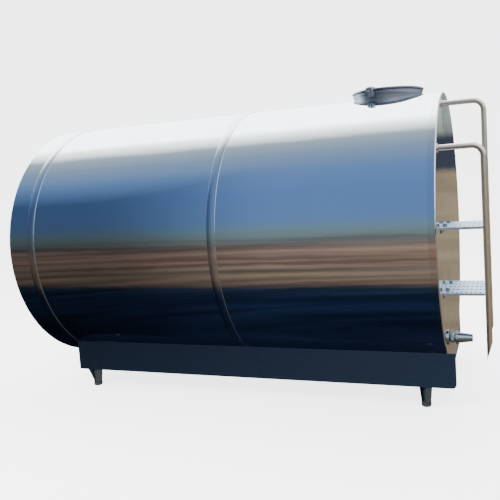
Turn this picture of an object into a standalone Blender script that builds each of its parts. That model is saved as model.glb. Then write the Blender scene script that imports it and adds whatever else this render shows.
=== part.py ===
"""Horizontal insulated bulk milk tank on a skirted base, with an end ladder, a manway and an outlet.

Frame: metres, +Z up, +X towards the ladder end, the outlet and ladder on the -Y half of that end.
The origin is the centre of the tank's footprint at floor level.
"""

import math

import bmesh
import bpy
from mathutils import Vector

# --- overall -------------------------------------------------------------------------------------
TANK_DIAMETER = 1.80        # outside of the outer skin
TANK_LENGTH = 2.94          # from one end face to the other
WALL = 0.060                # inner vessel, insulation and outer skin together
GAP = 0.0003                # between pieces that touch
ROUND_SIDES = 64            # facets of the big round pieces
SMALL_SIDES = 20            # facets of the small round pieces
SMOOTH_BELOW = math.radians(32)      # edges flatter than this are shaded smooth

# --- ends and seams ------------------------------------------------------------------------------
KNUCKLE = 0.020             # rounded edge between an end face and its flange
KNUCKLE_STEPS = 3
LEFT_FLANGE = 0.198         # straight flange of the left end, up to its seam
RIGHT_FLANGE = 0.046        # straight flange of the right end
RIGHT_COURSE_SHARE = 0.459  # middle seam from the right end face, as a share of the length
SEAM_WIDTH = 0.057
SEAM_THICKNESS = 0.002

# --- manway --------------------------------------------------------------------------------------
MANWAY_FROM_END = 0.380     # manway centre, measured from the right end face
NECK_RADIUS = 0.226         # outside, where the neck passes through the wall
NECK_WALL = 0.030
NECK_FLARE = 0.010          # how much wider the neck is at its top
NECK_RISE = 0.032           # top of the neck above the top of the shell
NECK_DEPTH = 0.100          # bottom of the neck below the top of the shell
NECK_SIDES = 48
GASKET_HEIGHT = 0.005
GASKET_WIDTH = 0.022
LID_OVERHANG = 0.006        # lid's edge beyond the top of the neck
LID_EDGE = 0.012
LID_SHOULDER = 0.038        # flat ring round the lid's crown
LID_CROWN = 0.009           # how far the lid's centre stands above its edge
LID_SEAT = 0.002            # corner rounding of the lid's edge

# --- lid hinge and grip --------------------------------------------------------------------------
HINGE_ANGLE = math.radians(-106.0)   # direction of the hinge from the manway centre
HINGE_OUTREACH = 0.024               # hinge pin beyond the lid's edge
PIN_RADIUS = 0.005
PIN_HOLE_CLEARANCE = 0.0003
STRAP_PIN_CLEARANCE = 0.0005
PIN_OVERHANG = 0.003
STRAP_WIDTH = 0.024
STRAP_THICKNESS = 0.008
STRAP_LENGTH = 0.060
EAR_THICKNESS = 0.006
EAR_CLEARANCE = 0.005       # between the strap and each ear
EAR_ROUND = 0.012
BRACKET_BACK = 0.005
BRACKET_TOP_DROP = 0.015    # bracket's back plate below the pin
BRACKET_HEIGHT = 0.032
BRACKET_OFFSET = 0.0015     # back plate off the neck's widest part
GRIP_SPAN = 0.100
GRIP_RISE = 0.016
GRIP_RADIUS = 0.004
GRIP_BEND = 0.010
GRIP_INSET = 0.078          # from the lid's far edge
GRIP_BEND_STEPS = 4
BARREL_STEPS = 20
EAR_STEPS = 12

# --- base ----------------------------------------------------------------------------------------
BASE_SETBACK = 0.225        # left end of the base inside the left end face
FRONT_PANEL_REACH = 0.046      # right end of the front panel beyond the right end face
BASE_WIDTH = 1.120
BASE_DROP = 0.027           # bottom edge of the skirt below the lowest line of the shell
SKIRT_THICKNESS = 0.012
SKIRT_CORNER = 0.011
FREE_CORNER = 0.026            # lower corner of the front panel's free end
SKIRT_SEAM_SHARE = 0.456    # vertical seam of the long panels from the right end, as a share of the base
SKIRT_CORNER_STEPS = 4
SHELL_CLEARANCE = 0.0006    # skirt and saddles off the seam bands
COVER_STRIP_FROM_LEFT = 0.150   # centre of the strip, from the base's left end
COVER_STRIP_WIDTH = 0.030
COVER_STRIP_THICKNESS = 0.002
SADDLE_WIDTH = 0.090
ARC_STEPS = 18

# --- legs and feet -------------------------------------------------------------------------------
RIGHT_LEGS_INSET = 0.145    # leg centres from the base's right end
LEFT_LEGS_INSET = 0.110     # leg centres from the base's left end
LEG_INSET = 0.055           # leg centre inside the skirt's outer face
LEG_HEIGHT = 0.138          # floor to the bottom edge of the skirt, foot included
LEG_TOP_RADIUS = 0.041
LEG_BOTTOM_RADIUS = 0.030
FOOT_HEIGHT = 0.032
FOOT_RADIUS = 0.031
FOOT_ROUND = 0.012
LEG_SIDES = 20
GUSSET_REACH = 0.046
GUSSET_DROP = 0.090
GUSSET_THICKNESS = 0.008

# --- ladder --------------------------------------------------------------------------------------
RAIL_DIAMETER = 0.033
RAIL_SIDES = 12
RAIL_STANDOFF = 0.246       # rail centre line from the right end face
RAIL_BEND = 0.060
RAIL_BEND_STEPS = 6
RAIL_EDGE_DISTANCE = 0.048  # rails meet the end face this far inside its edge
FRONT_RAIL_INSET = 0.220    # front rail inside the widest line of the shell
LADDER_WIDTH = 0.380        # between the rails' centre lines
RAIL_BOTTOM_INSET = 0.200   # rails end this far above the lowest line of the shell
RAIL_TIP_SLOPE = 0.105      # how much shorter the outer side of the rail's slanted tip is
RAIL_FOOT_RADIUS = 0.026
RAIL_FOOT_THICKNESS = 0.004
TREAD_HEIGHTS = {"upper": 0.063, "lower": -0.314}   # top of each tread from the tank axis
TREAD_PLATE = 0.004
TREAD_LIP = 0.014
CLEAT_LEG = 0.034
CLEAT_THICKNESS = 0.005
CLEAT_INSET = 0.040         # cleat ends inside the tread's ends

# --- outlet --------------------------------------------------------------------------------------
OUTLET_EDGE_DISTANCE = 0.105         # outlet's centre inside the edge of the end face
OUTLET_ANGLE = math.radians(-127.9)  # direction of the outlet from the tank axis
OUTLET_FLANGE_RADIUS = 0.046
OUTLET_FLANGE_THICKNESS = 0.008
VALVE_RADIUS = 0.033
VALVE_LENGTH = 0.036
VALVE_NECK_RADIUS = 0.022
UNION_RADIUS = 0.040
UNION_LENGTH = 0.014
UNION_CHAMFER = 0.003
SPOUT_START_RADIUS = 0.035
SPOUT_END_RADIUS = 0.023
SPOUT_LENGTH = 0.086
SPOUT_BORE_RADIUS = 0.016
SPOUT_BORE_DEPTH = 0.020

# --- worked out from the sizes above -------------------------------------------------------------
RADIUS = TANK_DIAMETER / 2
INNER_RADIUS = RADIUS - WALL
BASE_BOTTOM = LEG_HEIGHT
AXIS_HEIGHT = BASE_BOTTOM + BASE_DROP + RADIUS
OVERALL_LENGTH = TANK_LENGTH + RAIL_STANDOFF + RAIL_DIAMETER / 2
LEFT_END = -OVERALL_LENGTH / 2
RIGHT_END = LEFT_END + TANK_LENGTH
LEFT_JOINT = LEFT_END + LEFT_FLANGE
MIDDLE_JOINT = RIGHT_END - RIGHT_COURSE_SHARE * TANK_LENGTH
RIGHT_JOINT = RIGHT_END - RIGHT_FLANGE
MANWAY_X = RIGHT_END - MANWAY_FROM_END
SHELL_TOP = AXIS_HEIGHT + RADIUS
NECK_TOP = SHELL_TOP + NECK_RISE
LID_BOTTOM = NECK_TOP + GASKET_HEIGHT + 2 * GAP
LID_RADIUS = NECK_RADIUS + NECK_FLARE + LID_OVERHANG
HINGE_REACH = LID_RADIUS + HINGE_OUTREACH
PIN_HEIGHT = LID_BOTTOM + LID_EDGE / 2
BASE_LENGTH = TANK_LENGTH - BASE_SETBACK
BASE_LEFT = LEFT_END + BASE_SETBACK
LEG_X = {"left": BASE_LEFT + LEFT_LEGS_INSET, "right": RIGHT_END - RIGHT_LEGS_INSET}
BASE_OUTER = BASE_WIDTH / 2
BASE_INNER = BASE_OUTER - SKIRT_THICKNESS
CRADLE_RADIUS = RADIUS + SEAM_THICKNESS + SHELL_CLEARANCE
LEG_Y = BASE_OUTER - LEG_INSET
RAIL_RADIUS = RAIL_DIAMETER / 2
RAIL_CIRCLE = RADIUS - RAIL_EDGE_DISTANCE
FRONT_RAIL_Y = -(RADIUS - FRONT_RAIL_INSET)
REAR_RAIL_Y = FRONT_RAIL_Y + LADDER_WIDTH
OUTLET_RADIUS = RADIUS - OUTLET_EDGE_DISTANCE
OUTLET_Y = OUTLET_RADIUS * math.cos(OUTLET_ANGLE)
OUTLET_HEIGHT = AXIS_HEIGHT + OUTLET_RADIUS * math.sin(OUTLET_ANGLE)

ALONG_X = (0, math.pi / 2, 0)       # turns local +Z into +X
ALONG_MINUS_X = (0, -math.pi / 2, 0)

# --- finishes: base colour, metallic, roughness ---------------------------------------------------
POLISHED_STEEL = ((0.62, 0.68, 0.76), 1.0, 0.12)
BRUSHED_STEEL = ((0.70, 0.73, 0.76), 1.0, 0.34)
SKIRT_STEEL = ((0.16, 0.20, 0.26), 1.0, 0.30)
LEG_STEEL = ((0.32, 0.38, 0.46), 1.0, 0.28)
RAIL_STEEL = ((0.42, 0.42, 0.44), 1.0, 0.26)
TREAD_STEEL = ((0.62, 0.70, 0.80), 1.0, 0.42)
NECK_STEEL = ((0.36, 0.40, 0.48), 1.0, 0.34)
VALVE_STEEL = ((0.34, 0.40, 0.48), 1.0, 0.32)
BLACK_RUBBER = ((0.030, 0.032, 0.036), 0.0, 0.75)


def clear_scene():
    """Remove every object that the file starts with."""
    for item in list(bpy.data.objects):
        bpy.data.objects.remove(item, do_unlink=True)


def finish(name, look):
    """Make one Principled material for the piece called name."""
    colour, metallic, roughness = look
    made = bpy.data.materials.new(name + "_finish")
    made.use_nodes = True
    shader = made.node_tree.nodes["Principled BSDF"]
    shader.inputs["Base Color"].default_value = (*colour, 1.0)
    shader.inputs["Metallic"].default_value = metallic
    shader.inputs["Roughness"].default_value = roughness
    return made


def piece(name, work, look, location=(0, 0, 0), rotation=(0, 0, 0), parent=None):
    """Turn a bmesh into a named, finished and placed object."""
    bmesh.ops.recalc_face_normals(work, faces=work.faces)
    mesh = bpy.data.meshes.new(name)
    work.to_mesh(mesh)
    work.free()
    mesh.shade_smooth()
    mesh.set_sharp_from_angle(angle=SMOOTH_BELOW)
    mesh.materials.append(finish(name, look))
    made = bpy.data.objects.new(name, mesh)
    made.location = location
    made.rotation_euler = rotation
    made.parent = parent
    bpy.context.collection.objects.link(made)
    return made


def turned(profile, sides):
    """Turn a profile of (radius, height) points round local Z; points at radius 0 become poles."""
    work = bmesh.new()
    rings = []
    for radius, height in profile:
        if radius == 0:
            rings.append([work.verts.new((0, 0, height))])
            continue
        angles = [2 * math.pi * step / sides for step in range(sides)]
        rings.append([work.verts.new((radius * math.cos(a), radius * math.sin(a), height)) for a in angles])
    closed = profile[0][0] > 0
    pairs = list(zip(rings, rings[1:] + rings[:1])) if closed else list(zip(rings, rings[1:]))
    for lower, upper in pairs:
        for step in range(sides):
            corners = [lower[step % len(lower)], lower[(step + 1) % len(lower)],
                       upper[(step + 1) % len(upper)], upper[step % len(upper)]]
            work.faces.new(list(dict.fromkeys(corners)))
    return work


def extruded(outline, depth, place):
    """Extrude a closed 2-D outline by depth; place turns (u, v, w) into a 3-D point."""
    work = bmesh.new()
    near = [work.verts.new(place(u, v, 0.0)) for u, v in outline]
    far = [work.verts.new(place(u, v, depth)) for u, v in outline]
    work.faces.new(near)
    work.faces.new(far[::-1])
    count = len(outline)
    for step in range(count):
        after = (step + 1) % count
        work.faces.new((near[after], near[step], far[step], far[after]))
    return work


def arc(centre, radius, start, end, steps):
    """Points on an arc from start to end, in degrees, both ends included."""
    angles = [math.radians(start + (end - start) * step / steps) for step in range(steps + 1)]
    return [(centre[0] + radius * math.cos(a), centre[1] + radius * math.sin(a)) for a in angles]


def rod(path, radius, sides, side_axis):
    """Sweep a circle along a planar path; side_axis is the direction square to the path's plane."""
    work = bmesh.new()
    points = [Vector(point) for point in path]
    side = Vector(side_axis).normalized()
    rings = []
    for index, point in enumerate(points):
        before = points[max(index - 1, 0)]
        after = points[min(index + 1, len(points) - 1)]
        incoming = (point - before).normalized() if index else (after - point).normalized()
        outgoing = (after - point).normalized() if index < len(points) - 1 else incoming
        tangent = (incoming + outgoing).normalized()
        stretch = 1.0 / max(tangent.dot(outgoing), 0.5)
        up = side.cross(tangent)
        ring = []
        for step in range(sides):
            turn = 2 * math.pi * step / sides
            offset = side * math.cos(turn) * radius + up * math.sin(turn) * radius * stretch
            ring.append(work.verts.new(point + offset))
        rings.append(ring)
    for lower, upper in zip(rings, rings[1:]):
        for step in range(sides):
            after = (step + 1) % sides
            work.faces.new((lower[step], lower[after], upper[after], upper[step]))
    work.faces.new(rings[0][::-1])
    work.faces.new(rings[-1])
    return work


def cut(target, cutter):
    """Cut one object out of another and hide the cutter."""
    cutter.hide_render = True
    cutter.display_type = "WIRE"
    boolean = target.modifiers.new("cut_" + cutter.name, "BOOLEAN")
    boolean.operation = "DIFFERENCE"
    boolean.solver = "EXACT"
    boolean.object = cutter


def fuse(target, added):
    """Union one object into another and hide the added one."""
    added.hide_render = True
    added.display_type = "WIRE"
    boolean = target.modifiers.new("fuse_" + added.name, "BOOLEAN")
    boolean.operation = "UNION"
    boolean.solver = "EXACT"
    boolean.object = added


# --- tank ----------------------------------------------------------------------------------------
def knuckle_profile():
    """Edge of an end, from its flat face out to its flange, with the face at height 0."""
    corner = arc((RADIUS - KNUCKLE, -KNUCKLE), KNUCKLE, 90, 0, KNUCKLE_STEPS)
    return [(0, 0)] + corner


def make_left_end():
    """Flat end with a rounded knuckle, a long straight flange and a hollow inside."""
    profile = knuckle_profile()
    profile += [(RADIUS, -(LEFT_FLANGE - GAP / 2)), (INNER_RADIUS, -(LEFT_FLANGE - GAP / 2))]
    profile += [(INNER_RADIUS, -WALL), (0, -WALL)]
    piece("tank_end_left", turned(profile, ROUND_SIDES), POLISHED_STEEL,
          (LEFT_END, 0, AXIS_HEIGHT), ALONG_MINUS_X)


def make_right_end():
    """Flat end with a short flange; a spigot behind it registers inside the shell."""
    profile = knuckle_profile()
    spigot = INNER_RADIUS - GAP
    profile += [(RADIUS, -(RIGHT_FLANGE - GAP / 2)), (spigot, -(RIGHT_FLANGE - GAP / 2))]
    profile += [(spigot, -WALL), (0, -WALL)]
    piece("tank_end_right", turned(profile, ROUND_SIDES), POLISHED_STEEL,
          (RIGHT_END, 0, AXIS_HEIGHT), ALONG_X)


def shell_course(name, start, end):
    """One rolled length of the insulated shell between two seams."""
    length = end - start - GAP
    profile = [(RADIUS, 0), (RADIUS, length), (INNER_RADIUS, length), (INNER_RADIUS, 0)]
    return piece(name, turned(profile, ROUND_SIDES), POLISHED_STEEL,
                 (start + GAP / 2, 0, AXIS_HEIGHT), ALONG_X)


def make_shell():
    """Both shell courses, the right one with the round hole for the manway neck."""
    shell_course("shell_course_left", LEFT_JOINT, MIDDLE_JOINT)
    right = shell_course("shell_course_right", MIDDLE_JOINT, RIGHT_JOINT)
    hole_radius = NECK_RADIUS + GAP
    profile = [(0, -RADIUS / 2), (hole_radius, -RADIUS / 2), (hole_radius, RADIUS / 2), (0, RADIUS / 2)]
    cutter = piece("manway_hole", turned(profile, NECK_SIDES), BRUSHED_STEEL, (MANWAY_X, 0, SHELL_TOP))
    cut(right, cutter)


def seam_band(name, centre):
    """Thin flat band that covers a seam of the shell."""
    low = RADIUS + GAP
    high = RADIUS + SEAM_THICKNESS
    profile = [(high, 0), (high, SEAM_WIDTH), (low, SEAM_WIDTH), (low, 0)]
    piece(name, turned(profile, ROUND_SIDES), BRUSHED_STEEL,
          (centre - SEAM_WIDTH / 2, 0, AXIS_HEIGHT), ALONG_X)


def make_seams():
    """Bands over the left end's seam and the middle seam."""
    seam_band("seam_band_left", LEFT_JOINT)
    seam_band("seam_band_middle", MIDDLE_JOINT)


# --- manway --------------------------------------------------------------------------------------
def make_manway_neck():
    """Round neck through the wall, flared a little towards its top."""
    inner = NECK_RADIUS - NECK_WALL
    profile = [(NECK_RADIUS, -NECK_DEPTH), (NECK_RADIUS, 0), (NECK_RADIUS + NECK_FLARE, NECK_RISE),
               (inner, NECK_RISE), (inner, -NECK_DEPTH)]
    piece("manway_neck", turned(profile, NECK_SIDES), NECK_STEEL, (MANWAY_X, 0, SHELL_TOP))


def make_manway_gasket():
    """Flat rubber ring that the lid closes on."""
    outer = NECK_RADIUS + NECK_FLARE - LID_SEAT
    profile = [(outer, 0), (outer, GASKET_HEIGHT), (outer - GASKET_WIDTH, GASKET_HEIGHT),
               (outer - GASKET_WIDTH, 0)]
    piece("manway_gasket", turned(profile, NECK_SIDES), BLACK_RUBBER, (MANWAY_X, 0, NECK_TOP + GAP))


def hinge_axis():
    """Empty on the hinge pin; its local X points away from the manway and its local Y is the pin."""
    empty = bpy.data.objects.new("lid_hinge_axis", None)
    empty.location = (MANWAY_X + HINGE_REACH * math.cos(HINGE_ANGLE), HINGE_REACH * math.sin(HINGE_ANGLE),
                      PIN_HEIGHT)
    empty.rotation_euler = (0, 0, HINGE_ANGLE)
    bpy.context.collection.objects.link(empty)
    return empty


def lid_surface(radius):
    """Height of the lid's upper surface above its underside at a radius."""
    shoulder = LID_RADIUS - LID_SHOULDER
    if radius >= shoulder:
        return LID_EDGE + LID_SEAT
    return LID_EDGE + LID_SEAT + (LID_CROWN - LID_SEAT) * (1 - radius / shoulder)


def make_lid(axis):
    """Round lid with a low crown."""
    shoulder = LID_RADIUS - LID_SHOULDER
    profile = [(0, 0), (LID_RADIUS - LID_SEAT, 0), (LID_RADIUS, LID_SEAT), (LID_RADIUS, LID_EDGE),
               (LID_RADIUS - LID_SEAT, lid_surface(LID_RADIUS)), (shoulder, lid_surface(shoulder)),
               (0, lid_surface(0))]
    piece("manway_lid", turned(profile, NECK_SIDES), BRUSHED_STEEL,
          (-HINGE_REACH, 0, LID_BOTTOM - PIN_HEIGHT), parent=axis)


def pin_cylinder(name, radius, length, axis):
    """Cylinder along the hinge pin, centred on it."""
    profile = [(0, 0), (radius, 0), (radius, length), (0, length)]
    return piece(name, turned(profile, SMALL_SIDES), BRUSHED_STEEL, (0, length / 2, 0),
                 (math.pi / 2, 0, 0), axis)


def make_lid_strap(axis):
    """Flat strap from the lid's shoulder to a barrel round the pin."""
    low = lid_surface(LID_RADIUS) - LID_EDGE / 2 + GAP
    high = low + STRAP_THICKNESS
    meet = 180 - math.degrees(math.asin(low / high))
    barrel = arc((0, 0), high, 90, meet - 360, BARREL_STEPS)
    outline = barrel + [(-STRAP_LENGTH, low), (-STRAP_LENGTH, high)]
    work = extruded(outline, STRAP_WIDTH, lambda u, v, w: (u, w - STRAP_WIDTH / 2, v))
    strap = piece("lid_strap", work, BRUSHED_STEEL, parent=axis)
    cut(strap, pin_cylinder("strap_pin_hole", PIN_RADIUS + STRAP_PIN_CLEARANCE, 2 * STRAP_WIDTH, axis))


def make_hinge_bracket(axis):
    """Back plate on the neck with two ears that hold the pin."""
    back = NECK_RADIUS + NECK_FLARE + BRACKET_OFFSET - HINGE_REACH
    bottom = -(BRACKET_TOP_DROP + BRACKET_HEIGHT)
    half = STRAP_WIDTH / 2 + EAR_CLEARANCE
    outer = half + EAR_THICKNESS
    plan = [(back, -outer), (back, outer), (EAR_ROUND, outer), (EAR_ROUND, half),
            (back + BRACKET_BACK, half), (back + BRACKET_BACK, -half), (EAR_ROUND, -half),
            (EAR_ROUND, -outer)]
    work = extruded(plan, BRACKET_HEIGHT, lambda u, v, w: (u, v, bottom + w))
    bracket = piece("hinge_bracket", work, BRUSHED_STEEL, parent=axis)
    ear = [(-EAR_ROUND, bottom / 2), (EAR_ROUND, bottom / 2)] + arc((0, 0), EAR_ROUND, 0, 180, EAR_STEPS)
    for number, start in enumerate((-outer, half)):
        top = extruded(ear, EAR_THICKNESS, lambda u, v, w, start=start: (u, start + w, v))
        fuse(bracket, piece(f"ear_top_{number}", top, BRUSHED_STEEL, parent=axis))
    cut(bracket, pin_cylinder("bracket_pin_hole", PIN_RADIUS + PIN_HOLE_CLEARANCE, 4 * outer, axis))


def make_hinge_pin(axis):
    """Straight pin through both ears and the strap's barrel."""
    outer = STRAP_WIDTH / 2 + EAR_CLEARANCE + EAR_THICKNESS
    pin_cylinder("hinge_pin", PIN_RADIUS, 2 * (outer + PIN_OVERHANG), axis)


def make_lid_grip(axis):
    """Low bow of round bar on the lid, opposite the hinge."""
    half = GRIP_SPAN / 2
    centre = LID_RADIUS - GRIP_INSET
    foot = lid_surface(centre - GRIP_RADIUS) + GAP
    top = foot + GRIP_RISE
    left = arc((-half + GRIP_BEND, top - GRIP_BEND), GRIP_BEND, 180, 90, GRIP_BEND_STEPS)
    right = arc((half - GRIP_BEND, top - GRIP_BEND), GRIP_BEND, 90, 0, GRIP_BEND_STEPS)
    path = [(0, -half, foot)] + [(0, y, z) for y, z in left + right] + [(0, half, foot)]
    piece("lid_grip", rod(path, GRIP_RADIUS, 8, (1, 0, 0)), BRUSHED_STEEL,
          (-HINGE_REACH - centre, 0, LID_BOTTOM - PIN_HEIGHT), parent=axis)


def make_manway():
    """Neck, gasket, lid and hinge."""
    make_manway_neck()
    make_manway_gasket()
    axis = hinge_axis()
    make_lid(axis)
    make_lid_strap(axis)
    make_lid_grip(axis)
    make_hinge_bracket(axis)
    make_hinge_pin(axis)


# --- base ----------------------------------------------------------------------------------------
def cradle_height(y):
    """Height of the cradle that clears the shell and its bands, at a distance y from the middle."""
    return AXIS_HEIGHT - math.sqrt(CRADLE_RADIUS ** 2 - y ** 2)


def skirt_side(name, start, end, side, round_start, round_end, end_corner=SKIRT_CORNER):
    """Long skirt panel; its top edge slopes with the shell and its free lower corner is rounded."""
    top = cradle_height(BASE_INNER) - GAP
    outline = [(end, top), (start, top)]
    if round_start:
        outline += arc((start + SKIRT_CORNER, BASE_BOTTOM + SKIRT_CORNER), SKIRT_CORNER,
                       180, 270, SKIRT_CORNER_STEPS)
    else:
        outline += [(start, BASE_BOTTOM)]
    if round_end:
        outline += arc((end - end_corner, BASE_BOTTOM + end_corner), end_corner,
                       270, 360, SKIRT_CORNER_STEPS)
    else:
        outline += [(end, BASE_BOTTOM)]
    work = extruded(outline, SKIRT_THICKNESS, lambda u, v, w: (u, side * (BASE_INNER + w), v))
    outer_top = cradle_height(BASE_OUTER) - GAP
    for vert in work.verts:
        if vert.co.z > top - GAP and abs(vert.co.y) > BASE_OUTER - GAP:
            vert.co.z = outer_top
    piece(name, work, SKIRT_STEEL)


def make_skirt_sides():
    """Two long panels on each side, meeting at the vertical seam; the front one reaches past the end."""
    seam = RIGHT_END - SKIRT_SEAM_SHARE * BASE_LENGTH
    for word, side, end, corner in (("front", -1, RIGHT_END + FRONT_PANEL_REACH, FREE_CORNER),
                                    ("rear", 1, RIGHT_END, SKIRT_CORNER)):
        skirt_side(f"skirt_{word}_left", BASE_LEFT, seam - GAP / 2, side, True, False)
        skirt_side(f"skirt_{word}_right", seam + GAP / 2, end, side, False, True, corner)


def cradle_plate(name, start, thickness, rounded):
    """Plate across the base with a hollow top that follows the shell; rounded is an edge to soften."""
    half = BASE_INNER - GAP
    reach = math.degrees(math.asin(half / CRADLE_RADIUS))
    hollow = arc((0, AXIS_HEIGHT), CRADLE_RADIUS, -90 - reach, -90 + reach, ARC_STEPS)
    facet_sag = CRADLE_RADIUS * (1 - math.cos(math.radians(reach / ARC_STEPS)))
    hollow = [(y, z - facet_sag) for y, z in hollow]
    outline = hollow + [(half, BASE_BOTTOM), (-half, BASE_BOTTOM)]
    work = extruded(outline, thickness, lambda u, v, w: (start + w, u, v))
    if rounded is not None:
        edges = [edge for edge in work.edges
                 if all(abs(v.co.z - BASE_BOTTOM) < GAP and abs(v.co.x - rounded) < GAP for v in edge.verts)]
        bmesh.ops.bevel(work, geom=edges, offset=SKIRT_CORNER, segments=SKIRT_CORNER_STEPS, affect="EDGES",
                        profile=0.5)
    piece(name, work, SKIRT_STEEL)


def make_skirt_ends():
    """End panels of the skirt, flush with the long panels' ends."""
    cradle_plate("skirt_end_left", BASE_LEFT, SKIRT_THICKNESS, BASE_LEFT)
    cradle_plate("skirt_end_right", RIGHT_END - SKIRT_THICKNESS, SKIRT_THICKNESS, RIGHT_END)


def make_saddles():
    """Cross members that carry the shell above each pair of legs."""
    for word, x in LEG_X.items():
        cradle_plate(f"saddle_{word}", x - SADDLE_WIDTH / 2, SADDLE_WIDTH, None)


def make_cover_strips():
    """Flat strips that cover the vertical joint of each long side above the left legs."""
    start = BASE_LEFT + COVER_STRIP_FROM_LEFT - COVER_STRIP_WIDTH / 2
    top = cradle_height(BASE_OUTER) - GAP
    outline = [(start, BASE_BOTTOM), (start + COVER_STRIP_WIDTH, BASE_BOTTOM),
               (start + COVER_STRIP_WIDTH, top), (start, top)]
    for word, side in (("front", -1), ("rear", 1)):
        work = extruded(outline, COVER_STRIP_THICKNESS,
                        lambda u, v, w, side=side: (u, side * (BASE_OUTER + GAP + w), v))
        piece(f"cover_strip_{word}", work, BRUSHED_STEEL)


# --- legs ----------------------------------------------------------------------------------------
def leg_radius(height):
    """Radius of a leg at a height above the floor."""
    top = BASE_BOTTOM - GAP
    share = (height - FOOT_HEIGHT - GAP) / (top - FOOT_HEIGHT - GAP)
    return LEG_BOTTOM_RADIUS + (LEG_TOP_RADIUS - LEG_BOTTOM_RADIUS) * share


def make_leg(word, x, y):
    """Tapered leg and its rounded foot with a flat underside."""
    low = FOOT_HEIGHT + GAP
    high = BASE_BOTTOM - GAP
    leg = [(0, low), (LEG_BOTTOM_RADIUS, low), (LEG_TOP_RADIUS, high), (0, high)]
    piece(f"leg_{word}", turned(leg, LEG_SIDES), LEG_STEEL, (x, y, 0))
    rounding = arc((FOOT_RADIUS - FOOT_ROUND, FOOT_ROUND), FOOT_ROUND, -90, 0, 3)
    foot = [(0, 0)] + rounding + [(FOOT_RADIUS, FOOT_HEIGHT), (0, FOOT_HEIGHT)]
    piece(f"foot_{word}", turned(foot, LEG_SIDES), BLACK_RUBBER, (x, y, 0))


def make_gusset(word, x, y):
    """Triangular plate on the outer side of a left leg."""
    high = BASE_BOTTOM - GAP
    low = high - GUSSET_DROP
    outline = [(x - leg_radius(high) - GAP, high), (x - leg_radius(high) - GUSSET_REACH, high),
               (x - leg_radius(low) - GUSSET_THICKNESS, low), (x - leg_radius(low) - GAP, low)]
    work = extruded(outline, GUSSET_THICKNESS, lambda u, v, w: (u, y - GUSSET_THICKNESS / 2 + w, v))
    piece(f"leg_gusset_{word}", work, LEG_STEEL)


def make_legs():
    """Four legs with feet, and gussets on the left pair."""
    for side_word, y in (("front", -LEG_Y), ("rear", LEG_Y)):
        make_leg(f"{side_word}_left", LEG_X["left"], y)
        make_leg(f"{side_word}_right", LEG_X["right"], y)
        make_gusset(side_word, LEG_X["left"], y)


# --- ladder --------------------------------------------------------------------------------------
def rail_top(y):
    """Height above the axis where a rail at y meets the end face."""
    return math.sqrt(RAIL_CIRCLE ** 2 - y ** 2)


def make_rail(word, y):
    """Rail that leaves the end face, bends down and ends in a slanted tip, with its foot plate."""
    start = RIGHT_END + RAIL_FOOT_THICKNESS + 2 * GAP
    out = RIGHT_END + RAIL_STANDOFF
    top = AXIS_HEIGHT + rail_top(y)
    bottom = AXIS_HEIGHT - RADIUS + RAIL_BOTTOM_INSET
    bend = arc((out - RAIL_BEND, top - RAIL_BEND), RAIL_BEND, 90, 0, RAIL_BEND_STEPS)
    path = [(start, y, top)] + [(x, y, z) for x, z in bend] + [(out, y, bottom)]
    work = rod(path, RAIL_RADIUS, RAIL_SIDES, (0, 1, 0))
    for vert in work.verts:
        if vert.co.z < bottom + GAP:
            vert.co.z += RAIL_TIP_SLOPE * (vert.co.x - (out - RAIL_RADIUS)) / RAIL_DIAMETER
    piece(f"ladder_rail_{word}", work, RAIL_STEEL)
    plate = [(0, 0), (RAIL_FOOT_RADIUS, 0), (RAIL_FOOT_RADIUS, RAIL_FOOT_THICKNESS), (0, RAIL_FOOT_THICKNESS)]
    piece(f"rail_foot_{word}", turned(plate, SMALL_SIDES), RAIL_STEEL, (RIGHT_END + GAP, y, top), ALONG_X)


def make_tread(word, height):
    """Flat tread with turned-down lips, butted against the rails, and the cleat that carries it."""
    start = RIGHT_END + GAP
    end = RIGHT_END + RAIL_STANDOFF - RAIL_RADIUS - GAP
    low_y = FRONT_RAIL_Y - RAIL_RADIUS
    high_y = REAR_RAIL_Y + RAIL_RADIUS
    top = AXIS_HEIGHT + height
    channel = [(low_y, top), (high_y, top), (high_y, top - TREAD_LIP),
               (high_y - TREAD_PLATE, top - TREAD_LIP), (high_y - TREAD_PLATE, top - TREAD_PLATE),
               (low_y + TREAD_PLATE, top - TREAD_PLATE), (low_y + TREAD_PLATE, top - TREAD_LIP),
               (low_y, top - TREAD_LIP)]
    work = extruded(channel, end - start, lambda u, v, w: (start + w, u, v))
    piece(f"ladder_tread_{word}", work, TREAD_STEEL)
    under = top - TREAD_PLATE - GAP
    angle = [(start, under), (start + CLEAT_LEG, under), (start + CLEAT_LEG, under - CLEAT_THICKNESS),
             (start + CLEAT_THICKNESS, under - CLEAT_THICKNESS), (start + CLEAT_THICKNESS, under - CLEAT_LEG),
             (start, under - CLEAT_LEG)]
    length = high_y - low_y - 2 * CLEAT_INSET
    cleat = extruded(angle, length, lambda u, v, w: (u, low_y + CLEAT_INSET + w, v))
    piece(f"tread_cleat_{word}", cleat, TREAD_STEEL)


def make_ladder():
    """Two rails and two treads at the right end."""
    make_rail("front", FRONT_RAIL_Y)
    make_rail("rear", REAR_RAIL_Y)
    for word, height in TREAD_HEIGHTS.items():
        make_tread(word, height)


# --- outlet --------------------------------------------------------------------------------------
def outlet_piece(name, profile, start):
    """Turned piece on the outlet's axis, starting at a distance from the end face."""
    piece(name, turned(profile, SMALL_SIDES), VALVE_STEEL,
          (RIGHT_END + start, OUTLET_Y, OUTLET_HEIGHT), ALONG_X)


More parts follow.
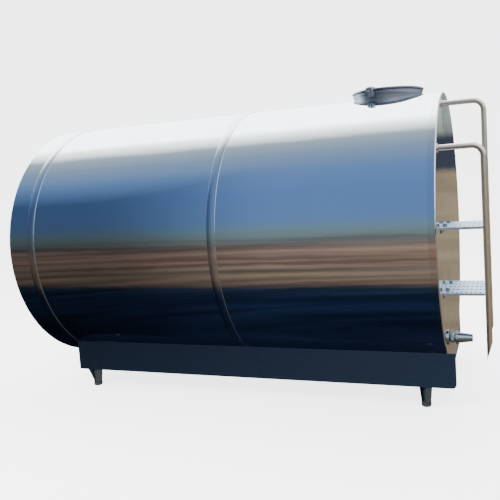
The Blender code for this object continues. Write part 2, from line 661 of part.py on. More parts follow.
def make_outlet():
    """Flange, rounded valve body, union ring and tapered spout, one behind the other."""
    flange = [(0, 0), (OUTLET_FLANGE_RADIUS, 0), (OUTLET_FLANGE_RADIUS, OUTLET_FLANGE_THICKNESS),
              (0, OUTLET_FLANGE_THICKNESS)]
    outlet_piece("outlet_flange", flange, GAP)
    valve_start = OUTLET_FLANGE_THICKNESS + 2 * GAP
    bulge = math.sqrt(VALVE_RADIUS ** 2 - VALVE_NECK_RADIUS ** 2)
    squash = VALVE_LENGTH / (2 * bulge)
    reach = math.degrees(math.atan2(bulge, VALVE_NECK_RADIUS))
    ball = [(r, VALVE_LENGTH / 2 + h * squash) for r, h in arc((0, 0), VALVE_RADIUS, -reach, reach, 6)]
    outlet_piece("valve_body", [(0, 0)] + ball + [(0, VALVE_LENGTH)], valve_start)
    union_start = valve_start + VALVE_LENGTH + GAP
    inset = UNION_RADIUS - UNION_CHAMFER
    union = [(0, 0), (inset, 0), (UNION_RADIUS, UNION_CHAMFER), (UNION_RADIUS, UNION_LENGTH - UNION_CHAMFER),
             (inset, UNION_LENGTH), (0, UNION_LENGTH)]
    outlet_piece("union_ring", union, union_start)
    bore_end = SPOUT_LENGTH - SPOUT_BORE_DEPTH
    spout = [(0, 0), (SPOUT_START_RADIUS, 0), (SPOUT_END_RADIUS, SPOUT_LENGTH),
             (SPOUT_BORE_RADIUS, SPOUT_LENGTH), (SPOUT_BORE_RADIUS, bore_end), (0, bore_end)]
    outlet_piece("outlet_spout", spout, union_start + UNION_LENGTH + GAP)


def main():
    """Build the whole tank."""
    clear_scene()
    make_left_end()
    make_right_end()
    make_shell()
    make_seams()
    make_manway()
    make_skirt_sides()
    make_skirt_ends()
    make_saddles()
    make_cover_strips()
    make_legs()
    make_ladder()
    make_outlet()


main()
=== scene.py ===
"""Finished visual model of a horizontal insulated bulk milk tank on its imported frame.

Metres, +Z up, +X towards the ladder end. Every position comes from the frame's own nodes.
"""

import logging
import math
from dataclasses import dataclass, field
from enum import Enum
from typing import Callable, Iterable, Optional

import bmesh
import bpy
from mathutils import Matrix, Vector, noise


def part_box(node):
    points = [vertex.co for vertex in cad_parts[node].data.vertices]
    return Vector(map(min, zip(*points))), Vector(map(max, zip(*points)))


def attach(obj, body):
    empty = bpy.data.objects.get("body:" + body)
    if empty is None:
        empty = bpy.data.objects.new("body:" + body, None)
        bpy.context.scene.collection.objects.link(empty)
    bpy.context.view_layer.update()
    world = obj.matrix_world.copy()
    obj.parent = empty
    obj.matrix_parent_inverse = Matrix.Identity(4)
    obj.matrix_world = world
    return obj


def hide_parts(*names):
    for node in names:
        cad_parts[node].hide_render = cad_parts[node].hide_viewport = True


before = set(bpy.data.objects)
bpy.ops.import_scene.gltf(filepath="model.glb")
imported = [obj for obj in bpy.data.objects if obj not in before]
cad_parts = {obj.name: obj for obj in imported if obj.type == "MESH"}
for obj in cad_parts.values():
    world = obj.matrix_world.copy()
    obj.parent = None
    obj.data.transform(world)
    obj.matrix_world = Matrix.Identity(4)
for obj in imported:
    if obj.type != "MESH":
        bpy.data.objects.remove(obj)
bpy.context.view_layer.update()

LOG = logging.getLogger("milk_tank")
Colour = tuple[float, float, float]
Profile = list[tuple[float, float]]
Node = bpy.types.Node
Socket = bpy.types.NodeSocket
Work = bmesh.types.BMesh


class Body(Enum):
    """The two moving bodies of the frame."""

    TANK = "tank"
    LID = "lid"


class Along(Enum):
    """Direction that a turned profile's height runs in."""

    X = "x"
    MINUS_X = "-x"
    Z = "z"


# --- shader node groups ---------------------------------------------------------------------------
@dataclass
class NodeSheet:
    """Small helper that adds and joins nodes in one tree."""

    tree: bpy.types.NodeTree

    def add(self, kind: str, inputs: Optional[dict[object, object]] = None, **values: object) -> Node:
        """Add a node, set its properties and fill its inputs.

        Args:
            kind: Blender's node type name.
            inputs: Sockets to link or values to set, by input name or number.
            values: Properties of the node, by name.

        Returns:
            The new node.
        """
        node = self.tree.nodes.new(kind)
        for name, value in values.items():
            setattr(node, name, value)
        for key, value in (inputs or {}).items():
            self.feed(node.inputs[key], value)
        return node

    def feed(self, target: Socket, value: object) -> None:
        """Link a socket to an input, or set the input's value.

        Args:
            target: The input.
            value: Socket, number, vector or colour.
        """
        if isinstance(value, Socket):
            self.join(value, target)
        else:
            target.default_value = (*value, 1.0) if target.type == "RGBA" else value

    def join(self, source: Socket, target: Socket) -> None:
        """Link one socket to another."""
        self.tree.links.new(source, target)

    def maths(self, operation: str, first: object, second: object = 0.0) -> Socket:
        """Add a Math node.

        Args:
            operation: Name of the operation.
            first: Socket or number for the first input.
            second: Socket or number for the second input.

        Returns:
            The node's value socket.
        """
        return self.add("ShaderNodeMath", {0: first, 1: second}, operation=operation).outputs[0]

    def ramp(self, factor: Socket, stops: Iterable[tuple[float, Colour]],
             smooth: bool = False) -> Socket:
        """Add a colour ramp.

        Args:
            factor: Socket that drives the ramp.
            stops: Positions from 0 to 1 and their colours.
            smooth: Ease between the stops instead of straight lines.

        Returns:
            The ramp's colour socket.
        """
        node = self.add("ShaderNodeValToRGB")
        node.color_ramp.interpolation = "EASE" if smooth else "LINEAR"
        elements = node.color_ramp.elements
        listed = list(stops)
        while len(elements) < len(listed):
            elements.new(0.5)
        for element, (position, colour) in zip(elements, listed):
            element.position = position
            element.color = (*colour, 1.0)
        self.join(factor, node.inputs["Fac"])
        return node.outputs["Color"]

    def mix(self, factor: object, first: object, second: object, blend: str = "MIX") -> Socket:
        """Add a colour mix.

        Args:
            factor: Socket or number that mixes the two.
            first: Socket or colour shown at 0.
            second: Socket or colour shown at 1.
            blend: Blend mode.

        Returns:
            The mixed colour socket.
        """
        node = self.add("ShaderNodeMix", data_type="RGBA", blend_type=blend)
        for index, value in ((0, factor), (6, first), (7, second)):
            self.feed(node.inputs[index], value)
        return node.outputs[2]


    def effect(self, effect: "SharedEffect", place: Socket, values: dict[str, object]) -> Node:
        """Place a shared group.

        Args:
            effect: The shared effect.
            place: Coordinates socket.
            values: Input values by socket name.

        Returns:
            The group node.
        """
        node = self.add("ShaderNodeGroup", node_tree=effect.group())
        for name, value in {"Coordinates": place, **values}.items():
            self.feed(node.inputs[name], value)
        return node


@dataclass
class SharedEffect:
    """Base of the shader groups that several finishes use."""

    name: str
    inputs: dict[str, tuple[str, object]]
    outputs: tuple[str, ...]

    def group(self) -> bpy.types.NodeTree:
        """Return the group, built on its first use."""
        found = bpy.data.node_groups.get(self.name)
        return found if found else self.build()

    def build(self) -> bpy.types.NodeTree:
        """Make the group's sockets and fill it.

        Returns:
            The finished node group.
        """
        tree = bpy.data.node_groups.new(self.name, "ShaderNodeTree")
        for label, (kind, value) in self.inputs.items():
            socket = tree.interface.new_socket(label, in_out="INPUT", socket_type=kind)
            if value is not None:
                socket.default_value = value
        for label in self.outputs:
            tree.interface.new_socket(label, in_out="OUTPUT", socket_type="NodeSocketFloat")
        sheet = NodeSheet(tree)
        self.fill(sheet, sheet.add("NodeGroupInput"), sheet.add("NodeGroupOutput"))
        return tree

    def fill(self, sheet: NodeSheet, given: Node, result: Node) -> None:
        """Put the effect's own nodes between its sockets."""
        raise NotImplementedError


class SteelGrain(SharedEffect):
    """Fine streaks of rolled or ground sheet, with broad patches where it is duller."""

    def __init__(self) -> None:
        """Name the group and its sockets."""
        super().__init__("steel_grain", {
            "Coordinates": ("NodeSocketVector", None),
            "Stretch": ("NodeSocketVector", (1.0, 1.0, 1.0)),
            "Scale": ("NodeSocketFloat", 60.0),
            "Patch Scale": ("NodeSocketFloat", 3.0),
            "Roughness": ("NodeSocketFloat", 0.2),
            "Variation": ("NodeSocketFloat", 0.05),
        }, ("Roughness", "Streak", "Patch"))

    def fill(self, sheet: NodeSheet, given: Node, result: Node) -> None:
        """Build streaks and patches and mix them into a roughness.

        Args:
            sheet: Tree helper.
            given: Group input node.
            result: Group output node.
        """
        wanted = given.outputs
        stretched = sheet.add("ShaderNodeVectorMath", {0: wanted["Coordinates"], 1: wanted["Stretch"]},
                              operation="MULTIPLY")
        streak = sheet.add("ShaderNodeTexNoise", {"Vector": stretched.outputs[0], "Scale": wanted["Scale"],
                                                  "Detail": 5.0, "Roughness": 0.65})
        patch = sheet.add("ShaderNodeTexNoise", {"Vector": wanted["Coordinates"],
                                                 "Scale": wanted["Patch Scale"], "Detail": 3.0})
        both = sheet.maths("ADD", streak.outputs["Fac"], patch.outputs["Fac"])
        swing = sheet.maths("MULTIPLY", sheet.maths("SUBTRACT", both, 1.0), wanted["Variation"])
        sheet.join(sheet.maths("ADD", wanted["Roughness"], swing), result.inputs["Roughness"])
        sheet.join(streak.outputs["Fac"], result.inputs["Streak"])
        sheet.join(patch.outputs["Fac"], result.inputs["Patch"])


class DustFilm(SharedEffect):
    """Splashed dust that is thick near the floor and thins out higher up."""

    def __init__(self) -> None:
        """Name the group and its sockets."""
        super().__init__("dust_film", {
            "Coordinates": ("NodeSocketVector", None),
            "Amount": ("NodeSocketFloat", 0.3),
            "Fade Height": ("NodeSocketFloat", 0.5),
            "Speckle": ("NodeSocketFloat", 35.0),
        }, ("Mask",))

    def fill(self, sheet: NodeSheet, given: Node, result: Node) -> None:
        """Multiply a fade by height with speckled noise.

        Args:
            sheet: Tree helper.
            given: Group input node.
            result: Group output node.
        """
        wanted = given.outputs
        parts = sheet.add("ShaderNodeSeparateXYZ", {0: wanted["Coordinates"]})
        rise = sheet.maths("DIVIDE", parts.outputs["Z"], wanted["Fade Height"])
        fade = sheet.maths("MAXIMUM", sheet.maths("SUBTRACT", 1.0, rise), 0.12)
        speckle = sheet.add("ShaderNodeTexNoise", {"Vector": wanted["Coordinates"],
                                                   "Scale": wanted["Speckle"], "Detail": 6.0,
                                                   "Roughness": 0.7})
        spots = sheet.maths("POWER", speckle.outputs["Fac"], 2.2)
        mask = sheet.maths("MULTIPLY", sheet.maths("MULTIPLY", fade, spots), wanted["Amount"])
        sheet.join(sheet.maths("MINIMUM", mask, 1.0), result.inputs["Mask"])


class EdgeWear(SharedEffect):
    """Brighter rubbed metal on outer edges."""

    def __init__(self) -> None:
        """Name the group and its sockets."""
        super().__init__("edge_wear", {
            "Coordinates": ("NodeSocketVector", None),
            "Amount": ("NodeSocketFloat", 0.5),
        }, ("Mask",))

    def fill(self, sheet: NodeSheet, given: Node, result: Node) -> None:
        """Turn pointiness into a broken mask.

        Args:
            sheet: Tree helper.
            given: Group input node.
            result: Group output node.
        """
        shape = sheet.add("ShaderNodeNewGeometry")
        edge = sheet.add("ShaderNodeMapRange", {"Value": shape.outputs["Pointiness"], "From Min": 0.52,
                                                "From Max": 0.60})
        breakup = sheet.add("ShaderNodeTexNoise", {"Vector": given.outputs["Coordinates"], "Scale": 40.0})
        broken = sheet.maths("MULTIPLY", edge.outputs["Result"], breakup.outputs["Fac"])
        sheet.join(sheet.maths("MULTIPLY", broken, given.outputs["Amount"]), result.inputs["Mask"])


# --- finishes -------------------------------------------------------------------------------------
def started(slot: str) -> tuple[bpy.types.Material, Optional[NodeSheet]]:
    """Find or start the material of a slot.

    Args:
        slot: Name of the slot.

    Returns:
        The material, and its tree helper if it is new.
    """
    found = bpy.data.materials.get(f"{slot}_surface")
    if found:
        return found, None
    made = bpy.data.materials.new(f"{slot}_surface")
    made.use_nodes = True
    return made, NodeSheet(made.node_tree)


@dataclass(frozen=True)
class SteelFinish:
    """One stainless surface: its colour, gloss, grain, waves and dirt."""

    slot: str
    colour: Colour
    roughness: float
    variation: float = 0.05
    stretch: Colour = (1.0, 1.0, 1.0)
    grain_scale: float = 60.0
    patch_scale: float = 3.0
    tint: Colour = (0.30, 0.33, 0.38)
    tint_share: float = 0.25
    grain_height: float = 0.0
    wave_height: float = 0.0
    wave_stretch: Colour = (1.0, 3.0, 3.0)
    dust: float = 0.25
    dust_colour: Colour = (0.34, 0.32, 0.30)
    fade_height: float = 0.5
    wear: float = 0.3
    worn_colour: Colour = (0.85, 0.88, 0.92)

    def material(self) -> bpy.types.Material:
        """Build the finish.

        Returns:
            The material, made once for each slot.
        """
        made, sheet = started(self.slot)
        if sheet is None:
            return made
        shader = made.node_tree.nodes["Principled BSDF"]
        place = sheet.add("ShaderNodeTexCoord").outputs["Object"]
        grain = sheet.effect(SteelGrain(), place, {
            "Stretch": self.stretch, "Scale": self.grain_scale, "Patch Scale": self.patch_scale,
            "Roughness": self.roughness, "Variation": self.variation})
        dirt = sheet.effect(DustFilm(), place, {
            "Amount": self.dust, "Fade Height": self.fade_height}).outputs["Mask"]
        wear = sheet.effect(EdgeWear(), place, {"Amount": self.wear}).outputs["Mask"]
        share = sheet.maths("MULTIPLY", grain.outputs["Patch"], self.tint_share * 2)
        colour = sheet.mix(share, self.colour, self.tint)
        colour = sheet.mix(sheet.maths("MULTIPLY", grain.outputs["Streak"], 0.18), colour, self.worn_colour)
        colour = sheet.mix(wear, colour, self.worn_colour)
        sheet.join(sheet.mix(dirt, colour, self.dust_colour), shader.inputs["Base Color"])
        rough = sheet.maths("ADD", grain.outputs["Roughness"], sheet.maths("MULTIPLY", dirt, 0.5))
        sheet.join(rough, shader.inputs["Roughness"])
        dull = sheet.maths("MULTIPLY", dirt, 0.7)
        sheet.join(sheet.maths("SUBTRACT", 1.0, dull), shader.inputs["Metallic"])
        self.relief(sheet, place, grain.outputs["Streak"], shader)
        return made

    def relief(self, sheet: NodeSheet, place: Socket, streak: Socket,
               shader: Node) -> None:
        """Add fine grain and slow sheet waves as relief.

        Args:
            sheet: Tree helper of the material.
            place: Coordinates socket.
            streak: Grain value socket.
            shader: The Principled shader.
        """
        height = sheet.maths("MULTIPLY", streak, self.grain_height)
        if self.wave_height:
            stretched = sheet.add("ShaderNodeMapping", {"Vector": place, "Scale": self.wave_stretch})
            wave = sheet.add("ShaderNodeTexNoise", {"Vector": stretched.outputs[0], "Scale": 2.4,
                                                    "Detail": 2.5})
            swell = sheet.maths("MULTIPLY", wave.outputs["Fac"], self.wave_height)
            height = sheet.maths("ADD", height, swell)
        bump = sheet.add("ShaderNodeBump", {"Distance": 1.0, "Height": height})
        sheet.join(bump.outputs["Normal"], shader.inputs["Normal"])


@dataclass(frozen=True)
class RubberFinish:
    """Matt black rubber with pale scuffs."""

    slot: str = "black_rubber"
    colour: Colour = (0.022, 0.024, 0.028)
    scuff: Colour = (0.12, 0.12, 0.12)
    roughness: float = 0.72

    def material(self) -> bpy.types.Material:
        """Build the finish.

        Returns:
            The material, made once.
        """
        made, sheet = started(self.slot)
        if sheet is None:
            return made
        shader = made.node_tree.nodes["Principled BSDF"]
        place = sheet.add("ShaderNodeTexCoord").outputs["Object"]
        dust = sheet.effect(DustFilm(), place, {"Amount": 0.9, "Fade Height": 0.06})
        sheet.join(sheet.mix(dust.outputs["Mask"], self.colour, self.scuff), shader.inputs["Base Color"])
        pebble = sheet.add("ShaderNodeTexNoise", {"Vector": place, "Scale": 420.0}).outputs["Fac"]
        sheet.join(sheet.maths("ADD", sheet.maths("MULTIPLY", pebble, 0.15), self.roughness - 0.07),
                   shader.inputs["Roughness"])
        bump = sheet.add("ShaderNodeBump", {"Distance": 0.0004, "Height": pebble})
        sheet.join(bump.outputs["Normal"], shader.inputs["Normal"])
        return made


Finish = SteelFinish | RubberFinish

POLISHED = SteelFinish("polished_steel", (0.80, 0.84, 0.90), 0.055, 0.05, (0.35, 6.0, 6.0), 26.0, 2.2,
                       (0.66, 0.71, 0.78), 0.22, 0.0, 0.0010, (0.8, 3.2, 3.2), 0.06,
                       fade_height=0.9, wear=0.0)
END_FACE = SteelFinish("end_steel", (0.74, 0.76, 0.78), 0.07, 0.06, (1.0, 1.0, 0.2), 30.0, 2.6,
                       (0.56, 0.58, 0.60), 0.22, 0.0, 0.0014, (1.0, 2.0, 0.9), 0.12,
                       fade_height=0.9, wear=0.0)
SEAM = SteelFinish("seam_steel", (0.66, 0.71, 0.78), 0.17, 0.08, (6.0, 0.5, 0.5), 60.0, 9.0,
                   (0.52, 0.57, 0.64), 0.30, 0.00004, dust=0.06, fade_height=0.8, wear=0.0)
BRUSHED = SteelFinish("brushed_steel", (0.66, 0.70, 0.74), 0.30, 0.12, (1.0, 8.0, 1.0), 90.0, 12.0,
                      (0.42, 0.46, 0.52), 0.30, 0.00004)
# Dark slate colour that paints in shade and reflection on the manway neck, its weld and the lid; the tread
# bolts share it.
NECK_PAINTED_SHADE = SteelFinish("neck_steel", (0.27, 0.30, 0.36), 0.38, 0.14, (1.0, 1.0, 6.0), 40.0, 10.0,
                   (0.15, 0.18, 0.24), 0.35, 0.00006, dust=0.3, fade_height=6.0,
                   worn_colour=(0.50, 0.54, 0.60))
SKIRT = SteelFinish("skirt_steel", (0.070, 0.150, 0.320), 0.34, 0.10, (0.4, 4.0, 4.0), 30.0, 2.5,
                    (0.045, 0.100, 0.240), 0.35, 0.00002, 0.0008, (0.8, 2.0, 2.0), 0.10, fade_height=0.35,
                    wear=0.15, worn_colour=(0.20, 0.28, 0.42))
LEG = SteelFinish("leg_steel", (0.20, 0.31, 0.48), 0.26, 0.12, (6.0, 6.0, 0.5), 50.0, 14.0,
                  (0.12, 0.20, 0.33), 0.30, 0.00004, dust=0.25, fade_height=0.10,
                  worn_colour=(0.50, 0.60, 0.72))
RAIL = SteelFinish("rail_steel", (0.88, 0.80, 0.68), 0.30, 0.10, (8.0, 8.0, 0.4), 50.0, 8.0,
                   (0.66, 0.56, 0.46), 0.35, 0.00003, dust=0.25, fade_height=0.7)
TREAD = SteelFinish("tread_steel", (0.50, 0.66, 0.88), 0.40, 0.12, (0.6, 6.0, 6.0), 70.0, 10.0,
                    (0.36, 0.48, 0.66), 0.25, 0.00006, dust=0.15, fade_height=1.5)
VALVE = SteelFinish("valve_steel", (0.42, 0.50, 0.58), 0.30, 0.12, (0.6, 6.0, 6.0), 80.0, 18.0,
                    (0.24, 0.30, 0.38), 0.35, 0.00006, dust=0.25, fade_height=0.8)
RUBBER = RubberFinish()


# --- mesh making ----------------------------------------------------------------------------------
@dataclass
class Lathe:
    """Turns profiles of (radius, height) points round an axis through a centre."""

    centre: Vector
    along: Along
    sides: int = 96

    def point(self, radius: float, height: float, angle: float) -> Vector:
        """Place one profile point.

        Args:
            radius: Distance from the axis.
            height: Distance along the axis.
            angle: Turn about the axis.

        Returns:
            The point in the frame.
        """
        a, b = radius * math.cos(angle), radius * math.sin(angle)
        if self.along is Along.X:
            return self.centre + Vector((height, a, b))
        if self.along is Along.MINUS_X:
            return self.centre + Vector((-height, a, b))
        return self.centre + Vector((a, b, height))

    def turn(self, profile: Profile, shape: Optional[Callable[[float, float, float], float]] = None) -> Work:
        """Turn a profile; points at radius 0 become poles, and a profile with none closes on itself.

        Args:
            profile: Points of the outline.
            shape: Changes a radius, given the radius, height and angle.

        Returns:
            The closed mesh.
        """
        work = bmesh.new()
        rings = []
        for radius, height in profile:
            if radius == 0:
                rings.append([work.verts.new(self.point(0, height, 0))])
                continue
            ring = []
            for step in range(self.sides):
                angle = 2 * math.pi * step / self.sides
                held = shape(radius, height, angle) if shape else radius
                ring.append(work.verts.new(self.point(held, height, angle)))
            rings.append(ring)
        pairs = list(zip(rings, rings[1:]))
        if profile[0][0] > 0:
            pairs.append((rings[-1], rings[0]))
        for lower, upper in pairs:
            for step in range(self.sides):
                corners = [lower[step % len(lower)], lower[(step + 1) % len(lower)],
                           upper[(step + 1) % len(upper)], upper[step % len(upper)]]
                work.faces.new(list(dict.fromkeys(corners)))
        bmesh.ops.recalc_face_normals(work, faces=work.faces)
        return work


def bow(centre: tuple[float, float], radius: float, start: float, end: float, steps: int) -> Profile:
    """Points on an arc.

    Args:
        centre: Centre of the arc.
        radius: Its radius.
        start: First angle in degrees.
        end: Last angle in degrees.
        steps: Number of spans.

    Returns:
        The points, both ends included.
    """
    angles = [math.radians(start + (end - start) * step / steps) for step in range(steps + 1)]
    return [(centre[0] + radius * math.cos(a), centre[1] + radius * math.sin(a)) for a in angles]


def swept(path: list[Vector], radius: float, sides: int, side_axis: Vector) -> Work:
    """Sweep a circle along a planar path and close its ends.

    Args:
        path: Points of the centre line.
        radius: Radius of the bar.
        sides: Facets round it.
        side_axis: Direction square to the path's plane.

    Returns:
        The closed mesh.
    """
    work = bmesh.new()
    side = side_axis.normalized()
    rings = []
    for index, point in enumerate(path):
        before, after = path[max(index - 1, 0)], path[min(index + 1, len(path) - 1)]
        tangent = (after - before).normalized()
        up = side.cross(tangent)
        ring = []
        for step in range(sides):
            turn = 2 * math.pi * step / sides
            ring.append(work.verts.new(point + side * math.cos(turn) * radius + up * math.sin(turn) * radius))
        rings.append(ring)
    for lower, upper in zip(rings, rings[1:]):
        for step in range(sides):
            nxt = (step + 1) % sides
            work.faces.new((lower[step], lower[nxt], upper[nxt], upper[step]))
    work.faces.new(rings[0][::-1])
    work.faces.new(rings[-1])
    bmesh.ops.recalc_face_normals(work, faces=work.faces)
    return work


def softened(node: str, width: float, segments: int = 2, sharper_than: float = 30.0) -> Work:
    """Copy a frame node and round its hard edges.

    Args:
        node: Name of the node.
        width: Width of the rounding.
        segments: Steps of the rounding.
        sharper_than: Edges that turn more than this many degrees are rounded.

    Returns:
        The rounded mesh.
    """
    work = bmesh.new()
    work.from_mesh(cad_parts[node].data)
    bmesh.ops.remove_doubles(work, verts=work.verts, dist=1e-5)
    bmesh.ops.dissolve_limit(work, angle_limit=math.radians(1.0), verts=work.verts, edges=work.edges)
    hard = [edge for edge in work.edges
            if len(edge.link_faces) == 2 and edge.calc_face_angle(0.0) > math.radians(sharper_than)]
    bmesh.ops.bevel(work, geom=hard, offset=width, segments=segments, affect="EDGES", profile=0.5,
                    clamp_overlap=True)
    bmesh.ops.recalc_face_normals(work, faces=work.faces)
    return work


def piece(name: str, work: Work, finish: Finish, body: Body, replaced: tuple[str, ...] = (),
          smooth_below: float = 35.0) -> bpy.types.Object:
    """Make a finished piece from a mesh and put it on its body.

    Args:
        name: Name of the piece.
        work: Its mesh, already in place.
        finish: Its surface.
        body: Body it moves with.
        replaced: Frame nodes it stands for.
        smooth_below: Edges that turn less than this many degrees are shaded smooth.

    Returns:
        The new object.
    """
    mesh = bpy.data.meshes.new(name)
    work.to_mesh(mesh)
    work.free()
    mesh.shade_smooth()
    mesh.set_sharp_from_angle(angle=math.radians(smooth_below))
    return placed(name, mesh, finish, body, replaced)


def placed(name: str, mesh: bpy.types.Mesh, finish: Finish, body: Body, replaced: tuple[str, ...] = ()) -> bpy.types.Object:
    """Put a ready mesh on its body.

    Args:
        name: Name of the piece.
        mesh: The mesh, already in place.
        finish: Its surface.
        body: Body it moves with.
        replaced: Frame nodes it stands for.

    Returns:
        The new object.
    """
    mesh.materials.clear()
    mesh.materials.append(finish.material())
    made = bpy.data.objects.new(name, mesh)
    bpy.context.scene.collection.objects.link(made)
    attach(made, body.value)
    if replaced:
        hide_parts(*replaced)
    LOG.info("%s: %d faces on %s", name, len(mesh.polygons), body.value)
    return made


def carved(target: Work, cutter: Work) -> Work:
    """Cut one closed mesh out of another.

    Args:
        target: Mesh that is cut.
        cutter: Mesh that is taken away.

    Returns:
        The cut mesh.
    """
    made = []
    for label, work in (("target", target), ("cutter", cutter)):
        mesh = bpy.data.meshes.new(label)
        work.to_mesh(mesh)
        work.free()
        made.append(bpy.data.objects.new(label, mesh))
        bpy.context.scene.collection.objects.link(made[-1])
    step = made[0].modifiers.new("cut", "BOOLEAN")
    step.operation, step.solver, step.object = "DIFFERENCE", "EXACT", made[1]
    result = bmesh.new()
    evaluated = made[0].evaluated_get(bpy.context.evaluated_depsgraph_get())
    flat = bpy.data.meshes.new_from_object(evaluated)
    result.from_mesh(flat)
    bpy.data.meshes.remove(flat)
    for item in made:
        bpy.data.objects.remove(item, do_unlink=True)
    return result


# --- geometry node makers -------------------------------------------------------------------------
@dataclass
class NodeMaker:
    """Base of the geometry node trees: named sizes in, realized and dressed geometry out."""

    name: str
    sizes: dict[str, tuple[str, object]]

    def tree(self) -> bpy.types.NodeTree:
        """Return the tree, built on its first use.

        Returns:
            The geometry node tree.
        """
        found = bpy.data.node_groups.get(self.name)
        if found:
            return found
        tree = bpy.data.node_groups.new(self.name, "GeometryNodeTree")
        tree.is_modifier = True
        tree.interface.new_socket("Geometry", in_out="INPUT", socket_type="NodeSocketGeometry")
        for label, (kind, value) in self.sizes.items():
            socket = tree.interface.new_socket(label, in_out="INPUT", socket_type=kind)
            socket.default_value = value
        tree.interface.new_socket("Finish", in_out="INPUT", socket_type="NodeSocketMaterial")
        tree.interface.new_socket("Geometry", in_out="OUTPUT", socket_type="NodeSocketGeometry")
        sheet = NodeSheet(tree)
        given = sheet.add("NodeGroupInput")
        realized = sheet.add("GeometryNodeRealizeInstances", {"Geometry": self.grow(sheet, given)})
        dressed = sheet.add("GeometryNodeSetMaterial", {"Geometry": realized.outputs["Geometry"],
                                                        "Material": given.outputs["Finish"]})
        sheet.add("NodeGroupOutput", {"Geometry": dressed.outputs["Geometry"]})
        return tree

    def grow(self, sheet: NodeSheet, given: Node) -> Socket:
        """Build the shape and return its geometry socket."""
        raise NotImplementedError

    def mesh(self, start: bpy.types.Mesh, finish: Finish, smooth_below: float = 35.0,
             **values: object) -> bpy.types.Mesh:
        """Run the tree on a starting mesh.

        Args:
            start: Points or paths that the tree works on.
            finish: Surface of the result.
            smooth_below: Edges that turn less than this many degrees are shaded smooth.
            values: Sizes by input name, with spaces written as underscores.

        Returns:
            The realized mesh.
        """
        item = bpy.data.objects.new(self.name, start)
        bpy.context.scene.collection.objects.link(item)
        step = item.modifiers.new("grow", "NODES")
        step.node_group = self.tree()
        sockets = {socket.name: socket.identifier for socket in self.tree().interface.items_tree
                   if socket.in_out == "INPUT"}
        for label, value in values.items():
            step[sockets[label.replace("_", " ")]] = value
        step[sockets["Finish"]] = finish.material()
        evaluated = item.evaluated_get(bpy.context.evaluated_depsgraph_get())
        made = bpy.data.meshes.new_from_object(evaluated)
        bpy.data.objects.remove(item, do_unlink=True)
        made.shade_smooth()
        made.set_sharp_from_angle(angle=math.radians(smooth_below))
        return made


class WeldBead(NodeMaker):
    """Row of overlapping weld ripples along paths."""

    def __init__(self) -> None:
        """Name the tree and its sizes."""
        super().__init__("weld_bead", {"Spacing": ("NodeSocketFloat", 0.006),
                                       "Bead Length": ("NodeSocketFloat", 0.005),
                                       "Bead Width": ("NodeSocketFloat", 0.003)})

    def grow(self, sheet: NodeSheet, given: Node) -> Socket:
        """Instance a small ripple at even steps, turned along the path.

        Args:
            sheet: Tree helper.
            given: Group input node.

        Returns:
            Geometry socket of the instances.
        """
        wanted = given.outputs
        curve = sheet.add("GeometryNodeMeshToCurve", {"Mesh": wanted["Geometry"]})
        even = sheet.add("GeometryNodeResampleCurve", mode="LENGTH")
        sheet.join(curve.outputs["Curve"], even.inputs["Curve"])
        sheet.join(wanted["Spacing"], even.inputs["Length"])
        ripple = sheet.add("GeometryNodeMeshUVSphere", {"Segments": 6, "Rings": 4, "Radius": 1.0})
        tangent = sheet.add("GeometryNodeInputTangent").outputs["Tangent"]
        aligned = sheet.add("FunctionNodeAlignRotationToVector", {"Vector": tangent}, axis="X")
        width = wanted["Bead Width"]
        scale = sheet.add("ShaderNodeCombineXYZ", {"X": wanted["Bead Length"], "Y": width, "Z": width})
        row = sheet.add("GeometryNodeInstanceOnPoints", {
            "Points": even.outputs["Curve"], "Instance": ripple.outputs["Mesh"],
            "Rotation": aligned.outputs["Rotation"], "Scale": scale.outputs["Vector"]})
        return row.outputs["Instances"]

    @staticmethod
    def paths(loops: Iterable[list[Vector]], closed: bool = True) -> bpy.types.Mesh:
        """Make a mesh of edges from point lists.

        Args:
            loops: Point lists, one for each path.
            closed: Join each path's end to its start.

        Returns:
            The edge mesh.
        """
        points: list[Vector] = []
        edges: list[tuple[int, int]] = []
        for loop in loops:
            first = len(points)
            points += loop
            edges += [(first + i, first + i + 1) for i in range(len(loop) - 1)]
            if closed:
                edges.append((len(points) - 1, first))
        mesh = bpy.data.meshes.new("paths")
        mesh.from_pydata(points, edges, [])
        return mesh


